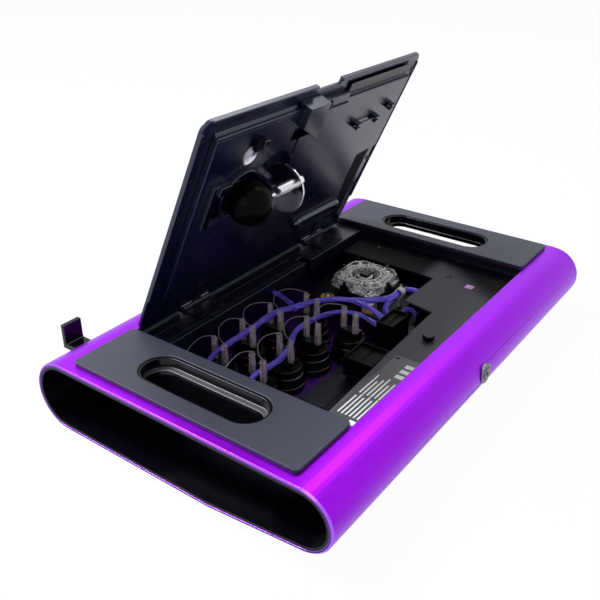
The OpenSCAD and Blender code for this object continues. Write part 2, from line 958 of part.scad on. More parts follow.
module lever_housing() {
    low = skin_t + housing_floor_gap;
    color(black) placed()
        translate([lever_x, lever_y, 0])
            difference() {
                translate([0, 0, low]) cylinder(r = housing_r, h = base_z - low);
                translate([0, 0, low - over]) cylinder(r = housing_bore_r, h = base_z);
                translate([-housing_r - over, 0, pivot_z])
                    rotate([0, 90, 0])
                        cylinder(r = trunnion_r + trunnion_run, h = 2 * (housing_r + over));
            }
}

module chamfered(width, cut) {
    half = width / 2;
    in = half - cut;
    polygon([
        [half, -in], [half, in], [in, half], [-in, half],
        [-half, in], [-half, -in], [-in, -half], [in, -half]
    ]);
}

module lever_switch_block() {
    color(black) placed()
        translate([lever_x, lever_y, base_top])
            difference() {
                linear_extrude(block_h) chamfered(block_w, block_chamfer + washer_r);
                translate([0, 0, -over]) cylinder(r = switch_hole_r, h = block_h + 2 * over);
            }
}

module lever_board() {
    color([0.05, 0.09, 0.07]) placed()
        translate([lever_x, lever_y, base_top + block_h])
            difference() {
                linear_extrude(lever_board_t) chamfered(block_w + lever_board_edge, block_chamfer);
                translate([0, 0, -over]) cylinder(r = switch_hole_r, h = lever_board_t + 2 * over);
            }
}

module lever_gate() {
    flat_cut = gate_d * (1 - sqrt(0.5)) / 2;
    wall = gate_h - gate_floor_t;
    color([0.85, 0.87, 0.9, 0.6]) placed()
        translate([lever_x, lever_y, gate_z]) {
            difference() {
                union() {
                    linear_extrude(gate_floor_t) chamfered(gate_d, flat_cut);
                    difference() {
                        linear_extrude(gate_h) chamfered(gate_d - 2 * gate_wall_t, flat_cut);
                        translate([0, 0, gate_floor_t])
                            linear_extrude(gate_h) chamfered(gate_d - 4 * gate_wall_t, flat_cut);
                    }
                    cylinder(r = gate_hole_r + gate_wall_t, h = gate_h);
                    for (k = [0 : 7])
                        rotate([0, 0, 45 * k])
                            translate([0, -gate_rib_t / 2, 0])
                                cube([gate_d / 2 - gate_wall_t * 2, gate_rib_t, gate_floor_t + gate_rib_h]);
                    for (k = [0 : 3])
                        rotate([0, 0, 45 + 90 * k])
                            translate([gate_leg_out, 0, 0])
                                cylinder(r = gate_lobe_r, h = gate_floor_t + wall / 2);
                }
                translate([0, 0, -over]) cylinder(r = gate_hole_r, h = gate_h + 2 * over);
            }
            for (k = [0 : 3])
                rotate([0, 0, 45 + 90 * k])
                    translate([gate_leg_out, 0, -gate_gap]) cylinder(r = gate_leg_r, h = gate_gap);
        }
}

module lever_ring() {
    color(graphite) placed()
        translate([lever_x, lever_y, pivot_z])
            difference() {
                union() {
                    translate([0, 0, -ring_h / 2]) cylinder(r = ring_out_r, h = ring_h);
                    rotate([0, 90, 0])
                        cylinder(r = trunnion_r, h = 2 * (ring_out_r + trunnion_reach), center = true);
                }
                cylinder(r = ring_in_r, h = ring_h * 2, center = true);
                rotate([90, 0, 0])
                    cylinder(r = trunnion_r + trunnion_run, h = 2 * ring_out_r + over, center = true);
            }
}

module lever_actuator() {
    hub_z = hub_top - cone_h;
    pin_reach = ring_out_r - fit * 4;
    color([0.12, 0.12, 0.13]) placed()
        translate([lever_x, lever_y, 0])
            difference() {
                union() {
                    translate([0, 0, pivot_z - ring_h]) cylinder(r = actuator_r, h = 2 * ring_h);
                    translate([0, 0, socket_low]) cylinder(r = socket_r, h = hub_z - socket_low);
                    translate([0, 0, pivot_z])
                        rotate([90, 0, 0])
                            cylinder(r = trunnion_r, h = 2 * pin_reach, center = true);
                    translate([-hub_w / 2, -hub_w / 2, hub_z]) cube([hub_w, hub_w, cone_h]);
                }
                translate([0, 0, socket_low - over])
                    cylinder(r = socket_bore_r, h = pivot_z + ring_h);
            }
}

module lever_bezel() {
    color(black) placed()
        translate([lever_x, lever_y, -rim_t])
            difference() {
                union() {
                    cylinder(r = bezel_ring_r, h = rim_t);
                    cylinder(r = bezel_collar_r, h = rim_t + skin_t);
                }
                translate([0, 0, -over])
                    cylinder(r = bezel_hole_r, h = rim_t + skin_t + 2 * over);
            }
}

module main_board() {
    color([0.06, 0.09, 0.09]) placed()
        difference() {
            span([board_x[0], board_y[0], board_z], [board_x[1], board_y[1], board_top_z]);
            translate([0, bay_front + stud_in, board_z - over])
                cylinder(r = post_r + neck_gap, h = board_t + 2 * over);
        }
}

module board_connectors() {
    color([0.1, 0.1, 0.11]) placed()
        for (i = [0 : len(connector_top) - 1])
            span([connector_x[i][0], connector_y[i][0], board_top_z],
                 [connector_x[i][1], connector_y[i][1], connector_top[i]]);
}

module loom_clip() {
    ring_r = loom_d / 2 + fit * 3;
    out_r = ring_r + clip_wall;
    color([0.9, 0.9, 0.92, 0.7]) placed()
        translate([clip_at[0], clip_at[1], 0])
            difference() {
                union() {
                    translate([0, 0, clip_z])
                        rotate([0, 90, 0]) cylinder(r = out_r, h = clip_w, center = true);
                    translate([-clip_w / 2, -clip_leg_w / 2, base_top])
                        cube([clip_w, clip_leg_w, clip_z - ring_r - base_top]);
                }
                translate([0, 0, clip_z])
                    rotate([0, 90, 0]) cylinder(r = ring_r, h = clip_w + 2 * over, center = true);
            }
}

module usb_port() {
    color(black) placed()
        difference() {
            intersection() {
                span([port_x - port_w / 2, body_w / 2 - port_deep, back_r - port_h / 2],
                     [port_x + port_w / 2, body_w / 2, back_r + port_h / 2]);
                body_prism(skin_t, port_x - port_w, port_x + port_w);
            }
            span([port_x - port_hole_w / 2, body_w / 2 - port_socket_deep, back_r - port_hole_h / 2],
                 [port_x + port_hole_w / 2, body_w / 2 + over, back_r + port_hole_h / 2]);
        }
}

module cord_cleat(x) {
    low = body_h - cleat_low_drop;
    tip_y = body_w / 2 + cleat_reach;
    difference() {
        union() {
            span([x - cleat_w / 2, body_w / 2 - cleat_root, low],
                 [x + cleat_w / 2, tip_y, low + cleat_t]);
            span([x - cleat_w / 2, tip_y - cleat_t, low],
                 [x + cleat_w / 2, tip_y, low + cleat_t + cleat_leg_h]);
        }
        body_prism(0, x - cleat_w, x + cleat_w);
    }
}

module cord_cleats() {
    color(black) placed() {
        cord_cleat(-cleat_x);
        cord_cleat(cleat_x);
    }
}

module latch_bezel() {
    face_y = -body_w / 2 - bezel_proud;
    color(black) placed()
        difference() {
            union() {
                difference() {
                    translate([0, face_y, latch_z])
                        rotate([-90, 0, 0]) cylinder(d = bezel_d, h = bezel_proud + bezel_flange_in);
                    body_prism(0, -bezel_d, bezel_d);
                }
                translate([0, face_y, latch_z])
                    rotate([-90, 0, 0]) cylinder(r = bezel_neck_r, h = bezel_proud + bezel_deep);
            }
            translate([0, face_y - over, latch_z])
                rotate([-90, 0, 0])
                    cylinder(r = latch_d / 2 + bezel_run, h = bezel_proud + bezel_deep + 2 * over);
        }
}

module latch_button() {
    face_y = -body_w / 2 - bezel_proud - latch_rest_out;
    stem_y = face_y + latch_head_l;
    color([0.1, 0.1, 0.11]) placed()
        translate([0, 0, latch_z]) {
            translate([0, face_y, 0]) rotate([-90, 0, 0]) cylinder(d = latch_d, h = latch_head_l);
            translate([0, stem_y, 0])
                rotate([-90, 0, 0]) cylinder(r = latch_stem_r, h = latch_stem_l);
            translate([-latch_tongue_w / 2, stem_y + latch_stem_l, -latch_tongue_h / 2])
                cube([latch_tongue_w, latch_tongue_t, latch_tongue_h]);
        }
}

module latch_guide() {
    guide_y = -body_w / 2 - bezel_proud - latch_rest_out + latch_head_l + latch_stem_l
        - guide_gap - guide_l;
    color(black) placed()
        difference() {
            intersection() {
                span([-guide_w / 2, guide_y, 0],
                     [guide_w / 2, guide_y + guide_l, latch_z + latch_stem_r + guide_wall]);
                body_prism(skin_t, -guide_w, guide_w);
            }
            translate([0, guide_y - over, latch_z])
                rotate([-90, 0, 0])
                    cylinder(r = latch_stem_r + bezel_run, h = guide_l + 2 * over);
        }
}

// Hinges: outer knuckles on the body, middle knuckle on the cover
knuckle_l = hinge_w / 3;
knuckle_end_gap = 0.3;

module knuckle(x, length, bore_r) {
    translate([x - length / 2, hinge_y, hinge_z])
        rotate([0, 90, 0])
            difference() {
                cylinder(r = knuckle_r, h = length);
                translate([0, 0, -over]) cylinder(r = bore_r, h = length + 2 * over);
            }
}

module hinge_bases() {
    leaf_back = hinge_y - hinge_leaf_back;
    color([0.15, 0.15, 0.16]) placed()
        for (x = [hinge_near_x, hinge_far_x]) {
            span([x - hinge_w / 2, leaf_back - hinge_leaf_l, roof_z],
                 [x + hinge_w / 2, leaf_back, roof_z + hinge_leaf_t]);
            for (side = [-1, 1]) {
                knuckle(x + side * knuckle_l, knuckle_l, pin_r + pin_run / 2);
                difference() {
                    span([x + side * knuckle_l - knuckle_l / 2, leaf_back, roof_z],
                         [x + side * knuckle_l + knuckle_l / 2, hinge_y, roof_z + hinge_leaf_t]);
                    translate([x - hinge_w, hinge_y, hinge_z])
                        rotate([0, 90, 0]) cylinder(r = pin_r + pin_run / 2, h = 2 * hinge_w);
                }
            }
        }
}

module hinge_leaves() {
    leaf_z = pad_top - cover_t - hinge_leaf_t;
    mid_l = knuckle_l - 2 * knuckle_end_gap;
    color([0.15, 0.15, 0.16]) opened()
        for (x = [hinge_near_x, hinge_far_x]) {
            knuckle(x, mid_l, pin_r + pin_run);
            difference() {
                span([x - mid_l / 2, hinge_y - hinge_leaf_l, leaf_z],
                     [x + mid_l / 2, hinge_y, leaf_z + hinge_leaf_t]);
                translate([x - hinge_w, hinge_y, hinge_z])
                    rotate([0, 90, 0]) cylinder(r = pin_r + pin_run, h = 2 * hinge_w);
            }
        }
}

module hinge_pins() {
    color("silver") placed()
        for (x = [hinge_near_x, hinge_far_x])
            translate([x - hinge_w / 2, hinge_y, hinge_z])
                rotate([0, 90, 0]) cylinder(r = pin_r, h = hinge_w);
}

module cover_plate() {
    mid_u = (cover_back_u + free_u) / 2;
    color(ink_blue) opened()
        difference() {
            union() {
                translate([0, hinge_y - mid_u, pad_top - cover_t])
                    linear_extrude(cover_t)
                        rounded([2 * cover_x, free_u - cover_back_u], cover_corner_r);
                for (side = [-1, 1])
                    cover_span(
                        side > 0 ? [cover_x - lip_w, cover_x] : [-cover_x, lip_w - cover_x],
                        [tray_back_u, free_u - cover_corner_r],
                        [cover_t, cover_t + lip_h]
                    );
                cover_span([cover_corner_r - cover_x, cover_x - cover_corner_r],
                           [free_u - lip_w, free_u], [cover_t, cover_t + lip_h]);
            }
            cover_span([-cover_notch_w / 2, cover_notch_w / 2],
                       [free_u - cover_notch_d, free_u + over], [-over, cover_t + lip_h + over]);
            for (x = [hinge_near_x, hinge_far_x])
                cover_span([x - hinge_w / 2 - hinge_room, x + hinge_w / 2 + hinge_room],
                           [cover_back_u - over, knuckle_r + hinge_room],
                           [-over, cover_t + over]);
        }
}

module cover_tray() {
    recess = [
        for (s = recess_points_share)
            [s[0] * tray_x + (s[0] < 1 ? 0 : over), hinge_y - s[1] * free_u]
    ];
    color(ink_blue) opened()
        difference() {
            cover_span([-tray_x, tray_x], [tray_back_u, tray_u], [cover_t, tray_d]);
            cover_span([groove_x - groove_w / 2, groove_x + groove_w / 2],
                       [groove_u, tray_u + over], [tray_d - groove_deep, tray_d + over]);
            cover_span([catch_x[0] - fit, catch_x[1] + fit],
                       [free_u - catch_u_gap[0] - fit, tray_u + over], [cover_t - over, tray_d + over]);
            cover_span([strip_groove_x, tray_x + over],
                       [free_u - strip_groove_u_gap[0], tray_u + over],
                       [tray_d - groove_deep * 2, tray_d + over]);
            translate([0, 0, pad_top - tray_d - over]) linear_extrude(tray_rise + over) polygon(recess);
            on_cover(ball_x, lever_u, cover_t - over)
                cylinder(r = ball_pocket_r, h = tray_rise + 2 * over);
            on_cover(dust_x, lever_u, cover_t - over)
                cylinder(r = dust_pocket_r, h = tray_rise + 2 * over);
            on_cover(dimple_at[0], dimple_at[1], tray_d - dimple_deep)
                cylinder(r = dimple_r, h = dimple_deep + over);
            cover_span([cradle_x[0] - fit, cradle_x[1] + fit],
                       [lever_u - saddle_w / 2 - fit, lever_u + saddle_w / 2 + fit],
                       [cover_t - over, tray_d + over]);
        }
}

module cover_fittings() {
    color([0.08, 0.09, 0.13]) opened() {
        on_cover(0, free_u, cover_t)
            linear_extrude(catch_d - cover_t)
                polygon([
                    [catch_x[0], catch_u_gap[1]], [catch_x[1], catch_u_gap[1]],
                    [catch_x[1], catch_u_gap[0]], [catch_x[0], catch_low_u_gap]
                ]);
        difference() {
            on_cover(ball_x, lever_u, tray_d)
                cylinder(r = ball_pocket_r + ball_rim_t, h = ball_rim_h);
            on_cover(ball_x, lever_u, tray_d - over)
                cylinder(r = ball_pocket_r, h = ball_rim_h + 2 * over);
            cover_span([ball_x + ball_pocket_r / 2, dust_x], [lever_u - saddle_w, lever_u + saddle_w],
                       [tray_d - over, tray_d + ball_rim_h + over]);
        }
        cover_span(bracket_x, bracket_u, [tray_d, tray_d + bracket_h]);
        cover_span([bracket_x[1], bracket_tab_x], [bracket_tab_u - bracket_tab_w, bracket_tab_u],
                   [tray_d, tray_d + bracket_tab_h]);
        cover_span([bracket_x[1], bracket_tab_x], [bracket_u[0], bracket_u[0] + bracket_tab_w],
                   [tray_d, tray_d + bracket_h]);
        cover_span([hook_at[0] - hook_w / 2, hook_at[0] + hook_w / 2],
                   [hook_at[1], hook_at[1] + hook_t], [tray_d, tray_d + hook_h]);
        cover_span([hook_at[0] - hook_w / 2, hook_at[0] + hook_w / 2],
                   [hook_at[1] - hook_w / 2, hook_at[1]],
                   [tray_d + hook_h - hook_t, tray_d + hook_h]);
        cover_span([rib_x[0], rib_x[1]], [rib_u - rib_r, rib_u + rib_r], [tray_d, tray_d + rib_h]);
        for (x = rib_x) on_cover(x, rib_u, tray_d) cylinder(r = rib_r, h = rib_h);
        cover_span([elbow_at[0], elbow_at[0] + elbow_l], [elbow_at[1] - elbow_t, elbow_at[1]],
                   [tray_d, tray_d + elbow_t]);
        cover_span([elbow_at[0], elbow_at[0] + elbow_t], [elbow_at[1], elbow_at[1] + elbow_w],
                   [tray_d, tray_d + elbow_t]);
        for (at = holder_at)
            difference() {
                cover_span([at[0] - holder_w / 2, at[0] + holder_w / 2],
                           [at[1] - holder_w / 2, at[1] + holder_w / 2], [tray_d, tray_d + holder_h]);
                cover_span([at[0] - holder_w, at[0] + holder_w],
                           [at[1] - rod_r - fit, at[1] + rod_r + fit],
                           [tray_d + holder_t, tray_d + holder_h + over]);
            }
        on_cover(holder_at[0][0] - holder_w, holder_at[0][1], tray_d + holder_t + rod_r)
            rotate([0, 90, 0])
                cylinder(r = rod_r, h = holder_at[1][0] - holder_at[0][0] + 2 * holder_w);
    }
}

module cover_screws() {
    pitch = (free_u - tray_back_u) / cover_screw_count;
    color("dimgray") opened()
        for (side = [-1, 1], k = [0 : cover_screw_count - 1])
            on_cover(side * (cover_x - cover_screw_in), tray_back_u + pitch * (k + 0.5), cover_t)
                cylinder(r = cover_screw_r, h = cover_screw_h);
}

module lever_cradle() {
    arm_in = shaft_d / 2 + cradle_gap;
    arm_out = arm_in + cradle_arm_t;
    color([0.1, 0.11, 0.15]) opened()
        difference() {
            union() {
                cover_span(cradle_x, [lever_u - saddle_w / 2, lever_u + saddle_w / 2],
                           [cover_t, lever_d]);
                for (side = [-1, 1])
                    cover_span(
                        cradle_x,
                        side > 0 ? [lever_u + arm_in, lever_u + arm_out]
                                 : [lever_u - arm_out, lever_u - arm_in],
                        [tray_d, tray_d + cradle_arm_h]
                    );
            }
            translate([cradle_x[0] - over, hinge_y - lever_u, pad_top - lever_d])
                rotate([0, 90, 0])
                    cylinder(r = arm_in, h = cradle_x[1] - cradle_x[0] + 2 * over);
            cover_span([cradle_x[0] - over, cradle_x[1] + over],
                       [lever_u - arm_in, lever_u + arm_in],
                       [lever_d, tray_d + cradle_arm_h + over]);
        }
}

module ball_top() {
    color([0.02, 0.02, 0.02]) opened()
        difference() {
            translate([ball_x, hinge_y - lever_u, pad_top - lever_d]) sphere(d = ball_d);
            translate([ball_x + ball_d / 2 - ball_socket_deep, hinge_y - lever_u, pad_top - lever_d])
                rotate([0, 90, 0]) cylinder(d = shaft_d + 2 * pin_run, h = ball_d);
        }
}

module lever_shaft() {
    root_x = ball_x + ball_d / 2 - ball_socket_deep;
    color("silver") opened()
        translate([0, hinge_y - lever_u, pad_top - lever_d])
            rotate([0, 90, 0]) {
                translate([0, 0, root_x + fit])
                    cylinder(d = shaft_d, h = shaft_tip_x - root_x - fit);
                translate([0, 0, dust_x]) cylinder(d = dust_d, h = dust_t);
            }
}

shell();
end_liner_near();
end_liner_far();
foot_pad_near();
foot_pad_far();
slot_grommet_near();
slot_grommet_far();
side_rails();
hinge_shelf();
front_plate();
posts();
plate_screws();
label_panel();
cover_stud();
floor_liner();
button_housings();
button_nuts();
button_switches();
quick_disconnects();
plunger_1();
plunger_2();
plunger_3();
plunger_4();
plunger_5();
plunger_6();
plunger_7();
plunger_8();
ground_wires();
loom_back_row();
loom_front_row();
loom_lever();
loom_branches();
lever_base_plate();
lever_washers();
lever_screws();
lever_housing();
lever_switch_block();
lever_board();
lever_gate();
lever_ring();
lever_actuator();
lever_bezel();
main_board();
board_connectors();
loom_clip();
usb_port();
cord_cleats();
latch_bezel();
latch_button();
latch_guide();
hinge_bases();
hinge_leaves();
hinge_pins();
cover_plate();
cover_tray();
cover_fittings();
cover_screws();
lever_cradle();
ball_top();
lever_shaft();
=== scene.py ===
"""Arcade fight stick lying on its buttons, its service cover swung open.

Body coordinates are millimetres about the middle of the body, with zero height at the
player's face. The function at() takes them to the frame. Cover pieces are made where the
shut cover has them and then swung open.
"""

import json
import logging
import math
from dataclasses import dataclass
from enum import Enum
from functools import partial
from typing import Callable, Iterable, Self, Sequence

import bmesh
import bpy
from mathutils import Matrix, Vector

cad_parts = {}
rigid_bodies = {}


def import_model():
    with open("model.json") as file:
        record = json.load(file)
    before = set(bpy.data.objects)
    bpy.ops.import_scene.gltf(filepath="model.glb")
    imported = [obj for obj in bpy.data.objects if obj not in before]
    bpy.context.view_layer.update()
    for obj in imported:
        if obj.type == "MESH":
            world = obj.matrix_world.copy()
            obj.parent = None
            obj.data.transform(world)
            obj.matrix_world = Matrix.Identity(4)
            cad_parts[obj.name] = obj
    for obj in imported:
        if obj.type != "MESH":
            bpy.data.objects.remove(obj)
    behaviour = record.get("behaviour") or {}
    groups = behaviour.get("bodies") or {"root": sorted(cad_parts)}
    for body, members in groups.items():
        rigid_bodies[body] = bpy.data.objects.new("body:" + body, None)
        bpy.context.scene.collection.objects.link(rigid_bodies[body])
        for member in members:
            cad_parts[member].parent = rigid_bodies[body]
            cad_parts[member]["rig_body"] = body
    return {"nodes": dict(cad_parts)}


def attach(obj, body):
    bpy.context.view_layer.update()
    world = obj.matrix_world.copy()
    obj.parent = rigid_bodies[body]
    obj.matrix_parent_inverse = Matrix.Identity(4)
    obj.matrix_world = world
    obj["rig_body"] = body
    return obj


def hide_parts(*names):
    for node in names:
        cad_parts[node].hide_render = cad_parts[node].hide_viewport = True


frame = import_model()

LOG = logging.getLogger("fight_stick")
MM = 0.001
MID_Y = 7.5
STAND = 5.0
HINGE_Y = 97.0
HINGE_Z = 58.5
PAD_TOP = 63.0
COVER_ANGLE = math.radians(65.0)
SMOOTH_BELOW = math.radians(38.0)
ROUND_WIRE_BELOW = math.radians(50.0)
ONE_PLANE_BELOW = math.radians(0.4)
WELD = 2e-6
TOUCH = 1e-5
STRAIGHT = 0.9
ASLANT = 0.3
LEVEL = 0.1

Point = Sequence[float]
Place = tuple[float, float, float]
Colour = tuple[float, float, float]
Test = Callable[[object], object]
Socket = bpy.types.NodeSocket
Edge = bmesh.types.BMEdge
Face = bmesh.types.BMFace
Polygon = bpy.types.MeshPolygon


def at(x: float, y: float, z: float) -> Vector:
    """Body coordinates in millimetres as a point of the frame in metres."""
    return Vector((x, y - MID_Y, z + STAND)) * MM


def opened() -> Matrix:
    """The turn that takes the shut cover to its rest place, in the frame."""
    hinge = at(0, HINGE_Y, HINGE_Z)
    turn = Matrix.Rotation(-COVER_ANGLE, 4, "X")
    return Matrix.Translation(hinge) @ turn @ Matrix.Translation(-hinge)


def inward() -> Vector:
    """Which way the open cover's inside points."""
    return (opened().to_3x3() @ Vector((0, 0, -1))).normalized()


def shut(x: float, u: float, d: float) -> Place:
    """A place on the shut cover: along it, out from the hinge line, down from its outside."""
    return (x, HINGE_Y - u, PAD_TOP - d)


def folded(point: Vector) -> Place:
    """Where a point of the open cover is when it is shut: the reverse of shut()."""
    back = opened().inverted() @ point
    return (back.x / MM, HINGE_Y - back.y / MM - MID_Y, PAD_TOP - back.z / MM + STAND)


def faces_up(face: Face) -> bool:
    """Whether a face points up."""
    return face.normal.z > STRAIGHT


def faces_down(face: Face) -> bool:
    """Whether a face points down, which on the shut cover is into the bay."""
    return face.normal.z < -STRAIGHT


def slides(moves: Iterable[Point]) -> list[Matrix]:
    """Moves in millimetres as matrices."""
    return [Matrix.Translation(Vector(move) * MM) for move in moves]


class Amount:
    """A shader number that Python's own signs work on."""

    def __init__(self, paint: "Paint", socket: Socket) -> None:
        """Wraps the output that carries the number."""
        self.paint = paint
        self.socket = socket

    def _do(self, operation: str, first: object, second: object = 0.0) -> Self:
        """Adds one Math node and wraps its result."""
        node = self.paint.node("ShaderNodeMath", {"operation": operation}, {0: first, 1: second})
        return Amount(self.paint, node.outputs[0])

    def __add__(self, other: object) -> Self:
        """self + other."""
        return self._do("ADD", self, other)

    __radd__ = __add__

    def __sub__(self, other: object) -> Self:
        """self - other."""
        return self._do("SUBTRACT", self, other)

    def __rsub__(self, other: object) -> Self:
        """other - self."""
        return self._do("SUBTRACT", other, self)

    def __mul__(self, other: object) -> Self:
        """self * other."""
        return self._do("MULTIPLY", self, other)

    __rmul__ = __mul__

    def sine(self) -> Self:
        """The sine of the number."""
        return self._do("SINE", self)

    def at_least(self, other: object) -> Self:
        """The larger of two numbers."""
        return self._do("MAXIMUM", self, other)

    def ramp(self, low: float, high: float) -> Self:
        """Zero below low, one above high, and smooth between them."""
        settings = {"interpolation_type": "SMOOTHSTEP"}
        node = self.paint.node("ShaderNodeMapRange", settings, {0: self, 1: low, 2: high})
        return Amount(self.paint, node.outputs[0])


class Paint:
    """One node tree under way, and the one method that adds nodes to it."""

    def __init__(
        self,
        owner: bpy.types.Material | bpy.types.World,
        shader: str = "ShaderNodeBsdfPrincipled",
        output: str = "ShaderNodeOutputMaterial",
    ) -> None:
        """Starts the tree of a material or world with a shader and its output.

        Args:
            owner: The material or world.
            shader: The type of the shader's node.
            output: The type of the output's node.
        """
        owner.use_nodes = True
        self.tree = owner.node_tree
        self.tree.nodes.clear()
        self.shader = self.node(shader)
        self.node(output, {}, {"Surface": self.shader.outputs[0]})

    def node(
        self,
        kind: str,
        settings: dict[str, object] | None = None,
        sockets: dict[str | int, object] | None = None,
    ) -> bpy.types.Node:
        """Adds a node, sets it up and feeds its sockets.

        Args:
            kind: The node's type.
            settings: Its properties.
            sockets: A value, socket or Amount for each input.

        Returns:
            The node.
        """
        node = self.tree.nodes.new(kind)
        for key, value in (settings or {}).items():
            setattr(node, key, value)
        for key, value in (sockets or {}).items():
            self.feed(node.inputs[key], value)
        return node

    def feed(self, socket: Socket, value: object) -> None:
        """Links or sets one input.

        Args:
            socket: The input.
            value: A number, a colour, a socket or an Amount.
        """
        if isinstance(value, Amount):
            value = value.socket
        if isinstance(value, Socket):
            self.tree.links.new(value, socket)
        elif socket.type == "RGBA":
            socket.default_value = (*value, 1.0)
        else:
            socket.default_value = value

    def set(self, **values: object) -> None:
        """Sets the shader's inputs, named with underscores for spaces."""
        for key, value in values.items():
            name = key.replace("_", " ").title().replace("Ior", "IOR")
            self.feed(self.shader.inputs[name], value)

    def place(self) -> Socket:
        """The place in the object's own coordinates."""
        return self.node("ShaderNodeTexCoord").outputs["Object"]

    def noise(self, per_metre: float, detail: float = 2.0) -> Amount:
        """A cloudy number from 0 to 1, with this many clouds in a metre."""
        sockets = {"Vector": self.place(), "Scale": per_metre, "Detail": detail}
        return Amount(self, self.node("ShaderNodeTexNoise", {}, sockets).outputs[0])

    def axes(self, vector: Socket) -> tuple[Amount, Amount, Amount]:
        """The three numbers of a place."""
        node = self.node("ShaderNodeSeparateXYZ", {}, {0: vector})
        return tuple(Amount(self, out) for out in node.outputs)

    def mix(self, share: object, first: object, second: object) -> Socket:
        """Blends two colours by a share."""
        sockets = {0: share, 6: first, 7: second}
        return self.node("ShaderNodeMix", {"data_type": "RGBA"}, sockets).outputs[2]

    def bump(self, height: object, depth: float) -> None:
        """Lets a height in metres shade the surface."""
        node = self.node("ShaderNodeBump", {}, {"Height": height, "Distance": depth})
        self.set(normal=node.outputs[0])

    def seen(self) -> Amount:
        """One for rays that show the backdrop to the camera, directly or in gloss and glass."""
        out = self.node("ShaderNodeLightPath").outputs
        camera, gloss, glass = (
            Amount(self, out[f"Is {ray} Ray"]) for ray in ("Camera", "Glossy", "Transmission")
        )
        return camera.at_least(gloss).at_least(glass)


def darker(colour: Colour, share: float) -> Colour:
    """A colour at a share of its brightness."""
    return tuple(c * share for c in colour)


@dataclass(frozen=True)
class Finish:
    """A plain finish with grain, cloudy colour and uneven gloss."""

    slot: str
    colour: Colour
    roughness: float
    metallic: float = 0.0
    cloud: float = 0.1
    cloud_scale: float = 40.0
    grain_scale: float = 1800.0
    grain_depth: float = 0.00002
    gloss_spread: float = 0.08
    coat: float = 0.0
    coat_roughness: float = 0.1
    specular: float = 0.5
    gloss_tint: Colour = (1.0, 1.0, 1.0)

    def lay(self, paint: Paint) -> None:
        """Adds colour, gloss and grain to a material under way."""
        cloud = paint.noise(self.cloud_scale, 4.0)
        grain = paint.noise(self.grain_scale)
        dark, light = (darker(self.colour, 1 + side * self.cloud) for side in (-1, 1))
        gloss = (grain - 0.5) * self.gloss_spread + (cloud - 0.5) * self.gloss_spread
        paint.set(
            base_color=paint.mix(cloud * 0.7 + grain * 0.3, dark, light),
            roughness=self.roughness + gloss,
            metallic=self.metallic,
            coat_weight=self.coat,
            coat_roughness=self.coat_roughness,
            specular_ior_level=self.specular,
            specular_tint=self.gloss_tint,
        )
        paint.bump(grain, self.grain_depth)


@dataclass(frozen=True)
class ClearMoulding(Finish):
    """Clear or milky plastic."""

    clear: float = 0.8
    bend: float = 1.46

    def lay(self, paint: Paint) -> None:
        """Lets light through the plain finish."""
        super().lay(paint)
        paint.set(transmission_weight=self.clear, ior=self.bend)


@dataclass(frozen=True)
class Woven(Finish):
    """Violet insulation of bundled wires: each strand a little different along and around."""

    waves: float = 260.0

    def lay(self, paint: Paint) -> None:
        """Shades the strands by the piece's own UV map."""
        along, strand, _ = paint.axes(paint.node("ShaderNodeUVMap").outputs[0])
        wave = ((along * self.waves + strand * 3.0).sine() + 1) * 0.5
        own = ((strand * 2.1).sine() + 1) * 0.2
        cloud = paint.noise(120.0, 3.0)
        share = cloud * 0.5 + wave * 0.2 + own
        paint.set(
            base_color=paint.mix(share, darker(self.colour, 0.55), darker(self.colour, 1.5)),
            roughness=self.roughness + (cloud - 0.5) * 0.15,
        )
        paint.bump(paint.noise(self.grain_scale), self.grain_depth)


@dataclass(frozen=True)
class PaintedShadow(Finish):
    """Painted sheet with painted shadow: its colour runs to black in its far corner and on its
    back arm, where the open cover's shadow falls.
    """

    far: tuple[float, float] = (0.126, 0.152)
    back: tuple[float, float] = (-0.042, -0.026)

    def lay(self, paint: Paint) -> None:
        """Darkens the plain finish by place, as painted shadow."""
        super().lay(paint)
        x, y, _ = paint.axes(paint.place())
        # painted shadow: the share of black rises towards the far corner and along the back arm
        share = (x * 0.8 - y * 0.6).ramp(*self.far).at_least(y.ramp(*self.back))
        plain = paint.shader.inputs["Base Color"].links[0].from_socket
        paint.set(base_color=paint.mix(share * 0.95, plain, darker(self.colour, 0.05)))


